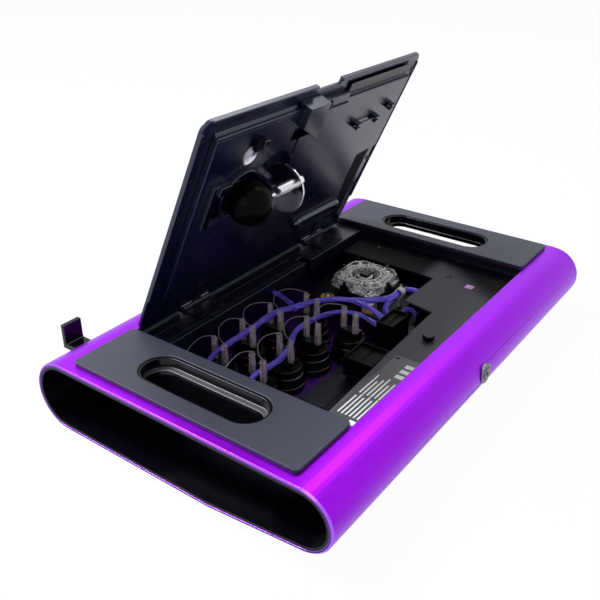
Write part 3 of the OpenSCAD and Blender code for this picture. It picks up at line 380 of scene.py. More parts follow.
class Kind(Enum):
    """The finishes of the fight stick."""

    PURPLE = Finish("anodised_purple", (0.3, 0.001, 0.7), 0.38, 0.92, 0.05, grain_scale=3200,
                    grain_depth=0.000008, specular=0.15, coat=0.1, coat_roughness=0.33)
    # a darker copy of the purple: painted shade on the tube's inside
    INSIDE = Finish("anodised_purple", (0.07, 0.01, 0.2), 0.5, 0.4, 0.15, specular=0.3)
    # a near-black copy of the purple: painted shade on the bay's cut edge
    BAY_EDGE = Finish("anodised_purple", (0.008, 0.003, 0.014), 0.5, cloud=0.2, specular=0.15)
    # a lighter copy of the purple: painted highlight on the ends' modelled chamfer
    CUT_EDGE = Finish("anodised_purple", (0.4, 0.12, 0.92), 0.22, 0.85, 0.05,
                      grain_scale=2600, grain_depth=0.00001)
    # a pale copy of the purple: painted glow for the plate's window
    WINDOW = Finish("anodised_purple", (0.75, 0.4, 0.95), 0.35)
    GLOSS = Finish("black_gloss", (0.003, 0.003, 0.006), 0.16, cloud=0.3, gloss_spread=0.05,
                   grain_scale=600, specular=0.25)
    BALL = Finish("black_gloss", (0.001, 0.001, 0.001), 0.28, gloss_spread=0.02,
                  grain_scale=400, grain_depth=0.000002, specular=0.04)
    # a lighter copy of the gloss black: painted highlight on the grommets' ledge
    LEDGE = Finish("black_gloss", (0.075, 0.078, 0.09), 0.3, cloud=0.15)
    LATCH = Finish("black_gloss", (0.16, 0.14, 0.19), 0.34, 0.5)
    RIM = Finish("black_satin", (0.007, 0.007, 0.012), 0.3, specular=0.14)
    SATIN = Finish("black_satin", (0.004, 0.004, 0.006), 0.36, cloud=0.3, specular=0.22)
    BUTTON = Finish("black_satin", (0.003, 0.003, 0.005), 0.17, cloud=0.3, specular=0.28)
    HEADER = Finish("black_satin", (0.0015, 0.0015, 0.002), 0.45, cloud=0.3, specular=0.08)
    SHELF = Finish("black_satin", (0.004, 0.006, 0.014), 0.3, cloud=0.25, specular=0.42,
                   gloss_tint=(0.8, 0.86, 1.0))
    PAD = Finish("pad_grey", (0.021, 0.023, 0.038), 0.48, grain_scale=2400,
                 grain_depth=0.00005, specular=0.48, gloss_tint=(0.84, 0.86, 1.0))
    # the plate's far corner and back arm carry painted shadow
    PLATE = PaintedShadow("plate_grey", (0.118, 0.115, 0.136), 0.46, cloud=0.12,
                      grain_depth=0.00003, specular=0.03)
    LABEL = Finish("label_grey", (0.045, 0.048, 0.055), 0.4, cloud=0.08)
    LABEL_LINE = Finish("label_grey", (0.85, 0.85, 0.87), 0.5, cloud=0.12, cloud_scale=300)
    COVER = Finish("cover_blue_black", (0.001, 0.0015, 0.022), 0.27, cloud=0.2,
                   grain_scale=2200, grain_depth=0.000012, gloss_spread=0.05, specular=0.74,
                   gloss_tint=(0.8, 0.84, 1.0))
    FITTING = Finish("cover_blue_black", (0.002, 0.003, 0.016), 0.2, cloud=0.2,
                     grain_scale=2200, grain_depth=0.00001, gloss_spread=0.05, specular=1.0,
                     gloss_tint=(0.8, 0.84, 1.0))
    COVER_DARK = Finish("cover_blue_black", (0.002, 0.002, 0.005), 0.7, cloud=0.2,
                        specular=0.08)
    STRIP = Finish("cover_blue_black", (0.004, 0.004, 0.01), 0.35, cloud=0.2, specular=0.4)
    DISH = Finish("cover_blue_black", (0.75, 0.75, 0.8), 0.2, 0.9, 0.3, cloud_scale=90)
    STEEL = Finish("steel", (0.55, 0.55, 0.57), 0.3, 1.0, 0.08)
    DULL_STEEL = Finish("steel", (0.05, 0.05, 0.06), 0.4, 0.9)
    CHROME = Finish("chrome", (0.8, 0.8, 0.82), 0.1, 1.0, 0.05, gloss_spread=0.04)
    COPPER = Finish("brass", (1.0, 0.5, 0.16), 0.4, 0.3)
    GOLD = Finish("brass", (0.82, 0.6, 0.3), 0.3, 0.9)
    PINK_PART = Finish("brass", (0.8, 0.4, 0.38), 0.4)
    BOARD = Finish("board", (0.004, 0.008, 0.01), 0.35, cloud=0.4, cloud_scale=160,
                   specular=0.4)
    SHEET = Finish("liner_dark", (0.012, 0.014, 0.024), 0.4, cloud=0.3, cloud_scale=120)
    GROUND = Finish("ground_wire", (0.3, 0.29, 0.31), 0.3)
    LOOM = Woven("loom_violet", (0.15, 0.095, 0.78), 0.34)
    SLEEVE = ClearMoulding("sleeve", (0.98, 0.9, 0.92), 0.07, cloud=0.08, clear=0.82)
    WHITE_PART = Finish("clear_plastic", (0.72, 0.72, 0.72), 0.35, cloud=0.08)
    CLEAR = ClearMoulding("clear_plastic", (0.97, 0.98, 1.0), 0.04, cloud=0.02, clear=0.92,
                          bend=1.75)
    # opaque white that stands for the clear gate's bright highlights: painted highlight
    FROST = ClearMoulding("clear_plastic", (1.0, 1.0, 1.0), 0.08, cloud=0.0, clear=0.0,
                          bend=1.8)

    @property
    def material(self) -> bpy.types.Material:
        """The finish's one material, made on first use."""
        made = bpy.data.materials.get(self.name)
        if made is None:
            made = bpy.data.materials.new(self.name)
            self.value.lay(Paint(made))
        return made


class Piece:
    """A mesh under way. Most methods return the piece, so that moves follow on."""

    def __init__(self, thing: bpy.types.Object, name: str) -> None:
        """Names an object that is in the scene."""
        self.thing = thing
        self.body = "body"
        thing.name = name

    @classmethod
    def of_mesh(cls, name: str, mesh: bpy.types.Mesh) -> Self:
        """Puts a mesh into the scene."""
        thing = bpy.data.objects.new(name, mesh)
        bpy.context.scene.collection.objects.link(thing)
        return cls(thing, name)

    @classmethod
    def block(cls, name: str, low: Point, high: Point) -> Self:
        """A box between two corners in body coordinates.

        Args:
            name: The piece's name.
            low: Lowest corner.
            high: Highest corner.

        Returns:
            The piece.
        """
        bpy.ops.object.select_all(action="DESELECT")
        a, b = at(*low), at(*high)
        bpy.ops.mesh.primitive_cube_add(size=1, location=(a + b) / 2)
        bpy.context.object.scale = b - a
        return cls(bpy.context.object, name).settle()

    @classmethod
    def drum(
        cls, name: str, foot: Point, radius: float, height: float, sides: int = 32,
        tip: float | None = None, hole: float = 0.0,
    ) -> Self:
        """An upright cylinder, cone or ring on a foot point in body coordinates.

        Args:
            name: The piece's name.
            foot: Middle of its lower end.
            radius: Radius of the lower end.
            height: Its height.
            sides: How many sides it has.
            tip: Radius of the upper end where it differs.
            hole: Radius of the hole in a ring.

        Returns:
            The piece.
        """
        bpy.ops.object.select_all(action="DESELECT")
        bpy.ops.mesh.primitive_cone_add(
            vertices=sides, radius1=radius * MM, radius2=(radius if tip is None else tip) * MM,
            depth=height * MM, location=at(foot[0], foot[1], foot[2] + height / 2),
        )
        piece = cls(bpy.context.object, name).settle()
        if hole:
            bridge = bpy.ops.mesh.bridge_edge_loops
            piece.inset(lambda f: abs(f.normal.z) > STRAIGHT, (radius - hole, 0), then=bridge)
        return piece

    @classmethod
    def screw(cls, name: str, foot: Point, radius: float, height: float) -> Self:
        """A pan-head screw with a socket in its top.

        Args:
            name: The piece's name.
            foot: Middle of the head's underside.
            radius: Radius of the head.
            height: Its height.

        Returns:
            The piece.
        """
        middle = at(*foot)
        top = middle.z + height * MM

        def brim(edge: Edge) -> bool:
            """Whether an edge runs round the outside of the head's top."""
            on_top = all(abs(v.co.z - top) < TOUCH for v in edge.verts)
            outside = all(
                (v.co - middle).to_2d().length > radius * STRAIGHT * MM for v in edge.verts
            )
            return on_top and outside and any(abs(f.normal.z) < LEVEL for f in edge.link_faces)

        piece = cls.drum(name, foot, radius, height, 24)
        piece.inset(faces_up, (radius * 0.5, 0), (radius * 0.06, -height * 0.5))
        return piece.bevel(brim, min(radius, height) * 0.35, 3)

    @classmethod
    def from_node(cls, node: str, name: str = "") -> Self:
        """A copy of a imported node, merged and cleaned so that it can be shaped on.

        Args:
            node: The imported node.
            name: The new piece's name, where it isn't the node's with "_soft".

        Returns:
            The piece.
        """
        piece = cls.of_mesh(name or f"{node}_soft", frame["nodes"][node].data.copy())
        piece.thing.data.materials.clear()
        piece.body = frame["nodes"][node]["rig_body"]
        piece.only()
        bpy.ops.mesh.customdata_custom_splitnormals_clear()
        return piece.edit(
            "FACE", lambda face: True,
            partial(bpy.ops.mesh.remove_doubles, threshold=WELD),
            partial(bpy.ops.mesh.dissolve_limited, angle_limit=ONE_PLANE_BELOW),
        )

    @classmethod
    def joined(cls, name: str, pieces: Sequence[Self]) -> Self:
        """Joins pieces into the first of them."""
        pieces[0].only()
        for piece in pieces:
            piece.thing.select_set(True)
        bpy.ops.object.join()
        return cls(pieces[0].thing, name)

    def only(self) -> Self:
        """Leaves edit mode and selects this piece and nothing else."""
        if bpy.context.object and bpy.context.object.mode != "OBJECT":
            bpy.ops.object.mode_set(mode="OBJECT")
        bpy.ops.object.select_all(action="DESELECT")
        self.thing.select_set(True)
        bpy.context.view_layer.objects.active = self.thing
        return self

    def settle(self) -> Self:
        """Puts the piece's place and size into its mesh."""
        self.only()
        bpy.ops.object.transform_apply(location=True, rotation=True, scale=True)
        return self

    def edit(self, kind: str, test: Test, *moves: Callable[[], object]) -> Self:
        """Runs operators in edit mode on the faces or edges that pass a test.

        Args:
            kind: FACE or EDGE.
            test: Says whether an element is taken.
            moves: The operators, in order.

        Returns:
            The piece.
        """
        self.only()
        bpy.ops.object.mode_set(mode="EDIT")
        bpy.ops.mesh.select_mode(type=kind)
        bpy.ops.mesh.select_all(action="DESELECT")
        mesh = bmesh.from_edit_mesh(self.thing.data)
        for element in mesh.faces if kind == "FACE" else mesh.edges:
            element.select_set(bool(test(element)))
        mesh.select_flush_mode()
        bmesh.update_edit_mesh(self.thing.data)
        for move in moves:
            move()
        bpy.ops.object.mode_set(mode="OBJECT")
        return self

    def inset(
        self, test: Test, *steps: tuple[float, float], then: Callable[[], object] | None = None
    ) -> Self:
        """Insets the faces that pass a test by steps of width and height in millimetres."""
        inset = bpy.ops.mesh.inset
        moves = [partial(inset, thickness=wide * MM, depth=deep * MM) for wide, deep in steps]
        return self.edit("FACE", test, *moves, *([then] if then else []))

    def bevel(self, test: Test, width: float, segments: int, clamp: bool = False) -> Self:
        """Bevels the edges that pass a test by a width in millimetres."""
        settings = {"offset": width * MM, "segments": segments, "clamp_overlap": clamp}
        return self.edit("EDGE", test, partial(bpy.ops.mesh.bevel, **settings))

    def apply(self, kind: str, **settings: object) -> Self:
        """Adds a modifier with its settings and applies it."""
        self.only()
        modifier = self.thing.modifiers.new(kind.title(), kind)
        for key, value in settings.items():
            setattr(modifier, key, value)
        bpy.ops.object.modifier_apply(modifier=modifier.name)
        return self

    def round_off(self, width: float = 0.0, segments: int = 2, angle: float = 32.0) -> Self:
        """Rounds the sharp edges and evens the shading of the flats between them.

        Args:
            width: How wide the rounding is, in millimetres. Zero leaves the edges sharp.
            segments: Its facets.
            angle: Edges sharper than this are rounded, in degrees.

        Returns:
            The piece.
        """
        if width:
            self.apply(
                "BEVEL", width=width * MM, segments=segments, limit_method="ANGLE",
                angle_limit=math.radians(angle), use_clamp_overlap=False,
                miter_outer="MITER_ARC",
            )
        self.only()
        bpy.ops.object.shade_smooth_by_angle(angle=SMOOTH_BELOW)
        return self.apply("WEIGHTED_NORMAL", keep_sharp=True, weight=90)

    def twins(self, moves: Iterable[Matrix]) -> list[Self]:
        """Copies of the piece with each move in their meshes. The piece itself is used up."""
        made = []
        for move in moves:
            mesh = self.thing.data.copy()
            mesh.transform(move)
            made.append(Piece.of_mesh(self.thing.name, mesh))
        bpy.data.objects.remove(self.thing)
        return made

    def swung(self) -> Self:
        """Takes the piece from the shut cover to the open one, in its mesh."""
        self.body = "cover"
        self.thing.data.transform(opened())
        self.thing.data.update()
        return self

    def paint_faces(self, kinds: Sequence[Kind], choose: Test) -> Self:
        """Adds finishes and gives each face the one whose number a rule picks."""
        for kind in kinds:
            self.thing.data.materials.append(kind.material)
        for face in self.thing.data.polygons:
            face.material_index = int(choose(face))
        return self

    def dress(self, kind: Kind, *replaced: str, body: str = "") -> Self:
        """Gives the piece its finish, the body it moves with and the nodes it stands for.

        Args:
            kind: Its finish.
            replaced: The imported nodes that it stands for.
            body: The body it rides on, where that isn't the one it was made for.

        Returns:
            The piece.
        """
        if not self.thing.data.materials:
            self.thing.data.materials.append(kind.material)
        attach(self.thing, body or self.body)
        if replaced:
            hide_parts(*replaced)
        LOG.info("%s is in %s", self.thing.name, kind.name.lower())
        return self


def keep(node: str, kind: Kind) -> None:
    """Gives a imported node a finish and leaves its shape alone."""
    mesh = frame["nodes"][node].data
    mesh.materials.clear()
    mesh.materials.append(kind.material)
    LOG.info("%s keeps its shape, in %s", node, kind.name.lower())


def softened(node: str, width: float, kind: Kind, segments: int = 2) -> Piece:
    """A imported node's shape with its edges rounded, which stands for the node."""
    return Piece.from_node(node).round_off(width, segments).dress(kind, node)


def cover_block(name: str, x: Point, u: Point, d: Point) -> Piece:
    """A box on the shut cover by its spans, still to be rounded and swung open."""
    return Piece.block(name, shut(x[0], u[1], d[1]), shut(x[1], u[0], d[0]))


def route(points: Sequence[Point], per_span: int = 6) -> list[Vector]:
    """A smooth curve through points in body coordinates.

    Args:
        points: The points that the wire passes.
        per_span: Steps between two of them.

    Returns:
        Points of the frame, in metres.
    """
    through = [at(*p) for p in points]
    ends = [2 * through[0] - through[1], *through, 2 * through[-1] - through[-2]]
    line = []
    for a, b, c, d in zip(ends, ends[1:], ends[2:], ends[3:]):
        for t in (step / per_span for step in range(per_span)):
            square = (2 * a - 5 * b + 4 * c - d) * t * t
            cube = (3 * b - a - 3 * c + d) * t ** 3
            line.append(0.5 * (2 * b + (c - a) * t + square + cube))
    return [*line, through[-1]]


@dataclass(frozen=True)
class Bundle:
    """Round strands wound about one line. Sizes are in millimetres."""

    radius: float
    spread: float = 0.0
    count: int = 1
    sides: int = 10
    loose: float = 0.0
    pitch: float = 85.0

    def sweep(self, name: str, line: Sequence[Vector]) -> Piece:
        """Winds the strands, with a UV map along and by strand.

        Args:
            name: The piece's name.
            line: The middle line, in metres.

        Returns:
            The piece.
        """
        corners, faces, uvs, frames = [], [], [], []
        normal, run = Vector((0, 0, 1)), 0.0
        for i, point in enumerate(line):
            ahead = (line[min(i + 1, len(line) - 1)] - line[max(i - 1, 0)]).normalized()
            normal = (normal - ahead * normal.dot(ahead)).normalized()
            run += (point - line[i - 1]).length if i else 0.0
            frames.append((point, normal.copy(), ahead.cross(normal), run / (self.pitch * MM)))
        for strand in range(self.count):
            base = len(corners)
            for point, up, side, turns in frames:
                turn = math.tau * (strand / self.count + turns)
                away = self.spread + self.loose * math.sin(turns * 9.0 + strand * 2.4)
                middle = point + (up * math.cos(turn) + side * math.sin(turn)) * away * MM
                for k in range(self.sides):
                    angle = math.tau * k / self.sides
                    out = up * math.cos(angle) + side * math.sin(angle)
                    corners.append(tuple(middle + out * self.radius * MM))
            for i in range(len(frames) - 1):
                low = base + i * self.sides
                for k in range(self.sides):
                    a, b = low + k, low + (k + 1) % self.sides
                    faces.append((a, a + self.sides, b + self.sides, b))
                    along = frames[i][3] * self.pitch * MM * 10
                    uvs += [(along, strand + k / self.sides * 0.2)] * 4
            last = base + (len(frames) - 1) * self.sides
            faces.append(tuple(base + k for k in range(self.sides)))
            faces.append(tuple(last + k for k in reversed(range(self.sides))))
            uvs += [(0.0, float(strand))] * (2 * self.sides)
        mesh = bpy.data.meshes.new(name)
        mesh.from_pydata(corners, [], faces)
        for loop, uv in zip(mesh.uv_layers.new(name="UVMap").data, uvs):
            loop.uv = uv
        turn_out = partial(bpy.ops.mesh.normals_make_consistent, inside=False)
        piece = Piece.of_mesh(name, mesh).edit("FACE", lambda face: True, turn_out)
        bpy.ops.object.shade_smooth_by_angle(angle=ROUND_WIRE_BELOW)
        return piece


@dataclass(frozen=True)
class Lamp:
    """A soft square lamp: its place, its side in metres, its watts and the point it faces."""

    name: str
    place: Place
    size: float
    power: float
    aim: Place = (0.0, 0.0, 0.05)

    def hang(self) -> None:
        """Adds the lamp to the scene."""
        data = bpy.data.lights.new(self.name, "AREA")
        data.size = self.size
        data.energy = self.power
        lamp = bpy.data.objects.new(self.name, data)
        lamp.location = self.place
        away = Vector(self.aim) - Vector(self.place)
        lamp.rotation_euler = away.to_track_quat("-Z", "Y").to_euler()
        bpy.context.scene.collection.objects.link(lamp)


@dataclass
class Studio:
    """Camera, floor, world and lamps. None of it belongs to the object."""

    lens: float = 46.81
    camera_place: Place = (-0.5040, -0.3342, 0.3873)
    camera_turn: Place = (61.535, 0.0, -53.778)
    floor_size: float = 8.0
    floor_grey: float = 0.9
    white_share: float = 0.97
    world_light: float = 0.1
    lamps: tuple[Lamp, ...] = (
        Lamp("back_top", (-0.45, 1.0, 1.5), 0.7, 48.0),
        Lamp("front_fill", (0.1, -1.6, 0.7), 1.2, 2.0),
        Lamp("side", (-1.7, -0.1, 0.9), 1.0, 5.0),
        Lamp("sheen", (0.62, 0.03, 1.18), 0.65, 4.8, (-0.15, -0.12, 0.05)),
    )

    def camera(self) -> None:
        """Stands the camera where the photograph was taken from."""
        data = bpy.data.cameras.new("camera")
        data.lens = self.lens
        data.sensor_width = 36.0
        data.clip_start = 0.01
        camera = bpy.data.objects.new("camera", data)
        camera.location = self.camera_place
        camera.rotation_euler = [math.radians(a) for a in self.camera_turn]
        bpy.context.scene.collection.objects.link(camera)
        bpy.context.scene.camera = camera
        bpy.context.scene.view_settings.view_transform = "Standard"

    def world(self) -> None:
        """White to look at, and softer as a light."""
        world = bpy.data.worlds.new("studio")
        paint = Paint(world, "ShaderNodeBackground", "ShaderNodeOutputWorld")
        extra = paint.seen() * (1.0 - self.world_light)
        paint.set(color=(1.0, 1.0, 1.0), strength=extra + self.world_light)
        bpy.context.scene.world = world

    def floor(self) -> None:
        """A pale floor that keeps a faint shadow under the object."""
        bpy.ops.object.select_all(action="DESELECT")
        bpy.ops.mesh.primitive_plane_add(size=self.floor_size)
        plane = Piece(bpy.context.object, "floor").thing
        material = bpy.data.materials.new("floor_white")
        paint = Paint(material, "ShaderNodeMixShader")
        matte = paint.node("ShaderNodeBsdfDiffuse", {}, {"Color": (self.floor_grey,) * 3})
        glow = paint.node("ShaderNodeEmission", {}, {"Strength": 1.0})
        blend = (paint.seen() * self.white_share, matte.outputs[0], glow.outputs[0])
        for socket, value in zip(paint.shader.inputs, blend):
            paint.feed(socket, value)
        plane.data.materials.append(material)

    def build(self) -> None:
        """Sets up all of it."""
        self.camera()
        self.world()
        self.floor()
        for lamp in self.lamps:
            lamp.hang()


@dataclass
class Body:
    """The metal tube, its end liners, foot pads and slot grommets."""

    end_x: float = 215.5
    rim_cut: float = 1.4
    tube_angle: float = 62.0
    axis: tuple[float, float] = (-7.5, 34.8)
    ledge_z: float = 54.0
    bay_half_x: float = 146.5
    bay_y: tuple[float, float] = (-108.5, 103.0)
    bay_edge_z: float = 59.0
    cut_edge: float = 2.0
    cut_slope: tuple[float, float] = (ASLANT, 0.95)
    least_outward: float = 0.0002
    liner_rim: float = 0.8

    def _away(self, point: Vector) -> Vector:
        """Direction from the body's long middle line to a point."""
        return Vector((0, point.y - self.axis[0] * MM, point.z - self.axis[1] * MM))

    def _finish_of(self, face: Polygon) -> int:
        """Outside, cut edge, inside or bay edge, by where a face is and how it points."""
        x, y, z = face.center / MM
        tilt = abs(face.normal.x)
        in_bay = abs(x) < self.bay_half_x and self.bay_y[0] < y + MID_Y < self.bay_y[1]
        if z > self.bay_edge_z and in_bay and abs(face.normal.z) < 0.7:
            return 3
        if abs(x) > self.end_x - self.cut_edge and self.cut_slope[0] < tilt < self.cut_slope[1]:
            return 1
        outward = face.normal.dot(self._away(face.center))
        return 2 if tilt > ASLANT or outward < self.least_outward else 0

    def shell(self) -> None:
        """The tube, with its cut edge round both open ends painted lighter as painted highlight,
        and its inside and bay edge painted darker as painted shade.
        """

        def outer_rim(edge: Edge) -> bool:
            """Whether an edge runs round the outside of an open end."""
            if any(abs(abs(v.co.x) - self.end_x * MM) > TOUCH for v in edge.verts):
                return False
            away = self._away((edge.verts[0].co + edge.verts[1].co) / 2)
            sides = [f.normal for f in edge.link_faces if abs(f.normal.x) < LEVEL]
            return any(normal.dot(away) > 0 for normal in sides)

        tube = Piece.from_node("shell", "body_tube").bevel(outer_rim, self.rim_cut, 1)
        tube.round_off(0.3, 2, self.tube_angle)
        # lit and shaded copies of the purple: painted highlight on the cut edge, painted shade
        # inside and on the bay edge
        kinds = (Kind.PURPLE, Kind.CUT_EDGE, Kind.INSIDE, Kind.BAY_EDGE)
        tube.paint_faces(kinds, self._finish_of).dress(Kind.PURPLE, "shell")

    def liners(self) -> None:
        """Gloss black tubs in both ends, with a grey rim."""
        rim_x = (self.end_x - self.liner_rim) * MM
        for node in ("end_liner_near", "end_liner_far"):
            tub = Piece.from_node(node, f"{node}_tub").round_off(0.3, 2, self.tube_angle)
            tub.paint_faces((Kind.GLOSS, Kind.RIM), lambda face: abs(face.center.x) > rim_x)
            tub.dress(Kind.GLOSS, node)

    def pads(self) -> None:
        """Rubber pads and the grommets in their slots, the ledge's upward faces painted lighter
        as painted highlight.
        """
        ledge = at(0, 0, self.ledge_z).z
        for side in ("near", "far"):
            softened(f"foot_pad_{side}", 0.7, Kind.PAD, 3)
            # upward ledge faces take the painted highlight
            softened(f"slot_grommet_{side}", 0.6, Kind.GLOSS, 4).paint_faces(
                (Kind.LEDGE,),
                lambda face: abs(face.center.z - ledge) < 0.7 * MM and face.normal.z > 0.2,
            )

    def build(self) -> None:
        """Builds the body."""
        self.shell()
        self.liners()
        self.pads()


@dataclass
class Bay:
    """What lines the service bay."""

    label_low: Place = (-139.0, -105.0, 47.2)
    label_rows: int = 7
    line_high: float = 1.3
    line_pitch: float = 3.3
    film: float = 0.06
    punch_foot: Place = (-37.6, -81.3, 46.0)
    window_low: Place = (105.1, -76.9, 45.6)
    window_high: Place = (112.9, -69.1, 46.8)
    screw_foot: Place = (116.0, -49.0, 47.0)
    screw_moves: tuple[Place, ...] = ((0, 0, 0), (18, 89, 0))
    ridge_foot: float = 56.5
    ridges: tuple[tuple[Point, float, tuple[Point, ...]], ...] = (
        ((72.5, 73.6), 57.1, ((-142, -91), (-86, -64), (-60, 42), (56, 80))),
        ((86.0, 87.0), 57.0, ((-142, -98), (-60, 42), (56, 76))),
    )

    def screws(self) -> None:
        """The plate's two screws."""
        screw = Piece.screw("plate_screw", self.screw_foot, 2.4, 1.0)
        heads = Piece.joined("plate_screw_heads", screw.twins(slides(self.screw_moves)))
        heads.round_off().dress(Kind.DULL_STEEL, "plate_screws")

    def sheet(self) -> None:
        """The label's film, with the plate's small hole punched through it."""
        sheet = Piece.from_node("label_panel", "label_sheet")
        punch = Piece.drum("punch", self.punch_foot, 1.5, 3).thing
        sheet.apply("BOOLEAN", object=punch, operation="DIFFERENCE", solver="EXACT")
        bpy.data.objects.remove(punch)
        sheet.round_off().dress(Kind.LABEL, "label_panel")

    def label(self) -> None:
        """A bare label: blank patches and plain ruled lines, no words."""
        x, y, z = self.label_low

        def bar(left: float, right: float, front: float, back: float) -> Piece:
            """One patch, by its distances from the label's corner."""
            high = (x + right, y + back, z + self.film)
            return Piece.block("line", (x + left, y + front, z), high)

        bars = [bar(2, 12, 2, 11)]
        for row in range(self.label_rows):
            front = 3 + row * self.line_pitch
            for left, right in ((15, 40 + 3 * (row % 2)), (44, 72 - 4 * (row % 3))):
                bars.append(bar(left, right, front, front + self.line_high))
        bars += [bar(left, left + 5, 6, 13) for left in (76, 84, 92)]
        Piece.joined("label_lines", bars).round_off().dress(Kind.LABEL_LINE)

    def window(self) -> None:
        """The window in the plate's square hole, painted pale as a painted glow."""
        pane = Piece.block("plate_window", self.window_low, self.window_high)
        pane.inset(faces_up, (1.2, -0.3)).round_off(0.3, 3).dress(Kind.WINDOW)

    def shelf_ridges(self) -> None:
        """Two raised lines along the hinge shelf."""
        made = [
            Piece.block("ridge", (left, front, self.ridge_foot), (right, back, top))
            for (front, back), top, spans in self.ridges
            for left, right in spans
        ]
        Piece.joined("shelf_ridges", made).round_off(0.25).dress(Kind.SHELF)

    def build(self) -> None:
        """Softens the bay's sheet metal and mouldings and adds their small parts."""
        softened("side_rails", 0.3, Kind.SHELF)
        softened("hinge_shelf", 0.7, Kind.SHELF, 3)
        softened("front_plate", 0.3, Kind.PLATE)
        softened("posts", 0.3, Kind.SATIN)
        self.screws()
        self.sheet()
        softened("cover_stud", 0.8, Kind.BUTTON, 3)
        keep("floor_liner", Kind.SHEET)
        self.label()
        self.window()
        self.shelf_ridges()


@dataclass
class Buttons:
    """Eight snap-in buttons seen from behind."""

    places: tuple[tuple[float, float], ...] = (
        (-104, 7), (-68, 7), (-32, 5), (2, -11), (-104, 47), (-68, 47), (-32, 45), (2, 30),
    )
    terminals: tuple[tuple[float, float], ...] = ((1.0, 7.5), (-3.5, -7.5))
    foot: float = 31.0
    sleeve_high: float = 19.0
    shoulder: float = 7.5
    shoulder_reach: float = 1.7
    swell: float = 1.12

    def sleeves(self) -> None:
        """Milky sleeves with a metal terminal inside, modelled once."""
        tube = Piece.drum("sleeve", (0, 0, self.foot + 0.02), 2.6, self.sleeve_high, 20, hole=2.1)
        level = at(0, 0, self.foot + self.shoulder).z
        tube.edit(
            "FACE", lambda face: abs(face.normal.z) < LEVEL,
            partial(bpy.ops.mesh.subdivide, number_cuts=5),
        )
        tube.edit(
            "EDGE",
            lambda edge: any(abs(v.co.z - level) < self.shoulder_reach * MM for v in edge.verts),
            partial(bpy.ops.transform.resize, value=(self.swell, self.swell, 1.0)),
        )
        blade = Piece.drum("terminal", (0, 0, self.foot + 3), 1.7, 9, 12, 1.2)
        crimp = Piece.drum("crimp", (0, 0, self.foot + 12), 1.2, 5.9, 12, 0.8)
        metal = Piece.joined("terminal", [blade, crimp])
        moves = slides((x + dx, y + dy, 0) for x, y in self.places for dx, dy in self.terminals)
        sleeves = Piece.joined("sleeves", tube.twins(moves)).round_off()
        sleeves.dress(Kind.SLEEVE, "quick_disconnects")
        Piece.joined("terminals", metal.twins(moves)).round_off(0.2).dress(Kind.CHROME)

    def build(self) -> None:
        """Softens the housings, dresses the plungers and adds the sleeves."""
        softened("button_housings", 0.6, Kind.BUTTON, 3)
        softened("button_nuts", 0.9, Kind.BUTTON, 3)
        softened("button_switches", 0.5, Kind.BUTTON)
        self.sleeves()
        for number in range(1, len(self.places) + 1):
            softened(f"plunger_{number}", 0.6, Kind.BUTTON)


class Run(Enum):
    """Each loom: the nodes it stands for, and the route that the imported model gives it."""

    BACK_ROW = (("loom_back_row",), (
        (-146.4, 40, 34), (-143, 40, 34), (-130, 43, 37), (-112, 47, 41), (-88, 47, 42),
        (-66, 46.5, 42.5), (-48, 47, 43), (-32, 45, 44), (-15, 37, 45), (1, 30, 45.5),
        (14, 21, 45.5), (25, 8, 44), (32, -8, 40), (33, -19, 35.5), (33, -25, 33),
        (33, -28.9, 33),
    ))
    FRONT_ROW = (("loom_front_row",), (
        (-146.4, 0, 28), (-143, 0, 28), (-128, 3, 31), (-108, 7, 34.5), (-88, 5, 34.5),
        (-70, 6.5, 35), (-56, 11, 35.5), (-44, 17, 36), (-32, 19.5, 37), (-14, 18, 38),
        (2, 13, 38), (15, 5, 37), (22, -8, 35), (23, -19, 32.2), (23, -25, 31), (23, -28.9, 31),
    ))
    LEVER = (("loom_lever",), (
        (41, -28.9, 34), (41, -25.5, 34), (44, -22, 36), (52, -20.5, 39), (62, -21.5, 41),
        (71, -21.5, 41), (80, -23, 41), (85, -31, 39), (86, -40, 35.5), (85, -46, 32),
        (85, -49.9, 32),
    ))
    SHELF = (("loom_branches",), (
        (-6, 67.9, 46), (-6, 65, 46), (-7, 60, 46), (-10, 50, 45.5), (-13, 41, 45),
    ))
    AUX = (("loom_branches",), (
        (46.1, -36, 33), (49, -36, 33), (54, -38, 35.5), (57, -42, 35), (57, -46.5, 32),
        (57, -49.9, 32),
    ))
    MERGE = ((), (
        (-17, 36, 44), (-8, 33, 45), (4, 27, 45.5), (16, 17, 45), (28, 4, 43.5), (39, -8, 42),
        (50, -16.5, 41.5), (60, -20, 41.5), (70, -21, 41.5), (78, -20, 40),
    ))


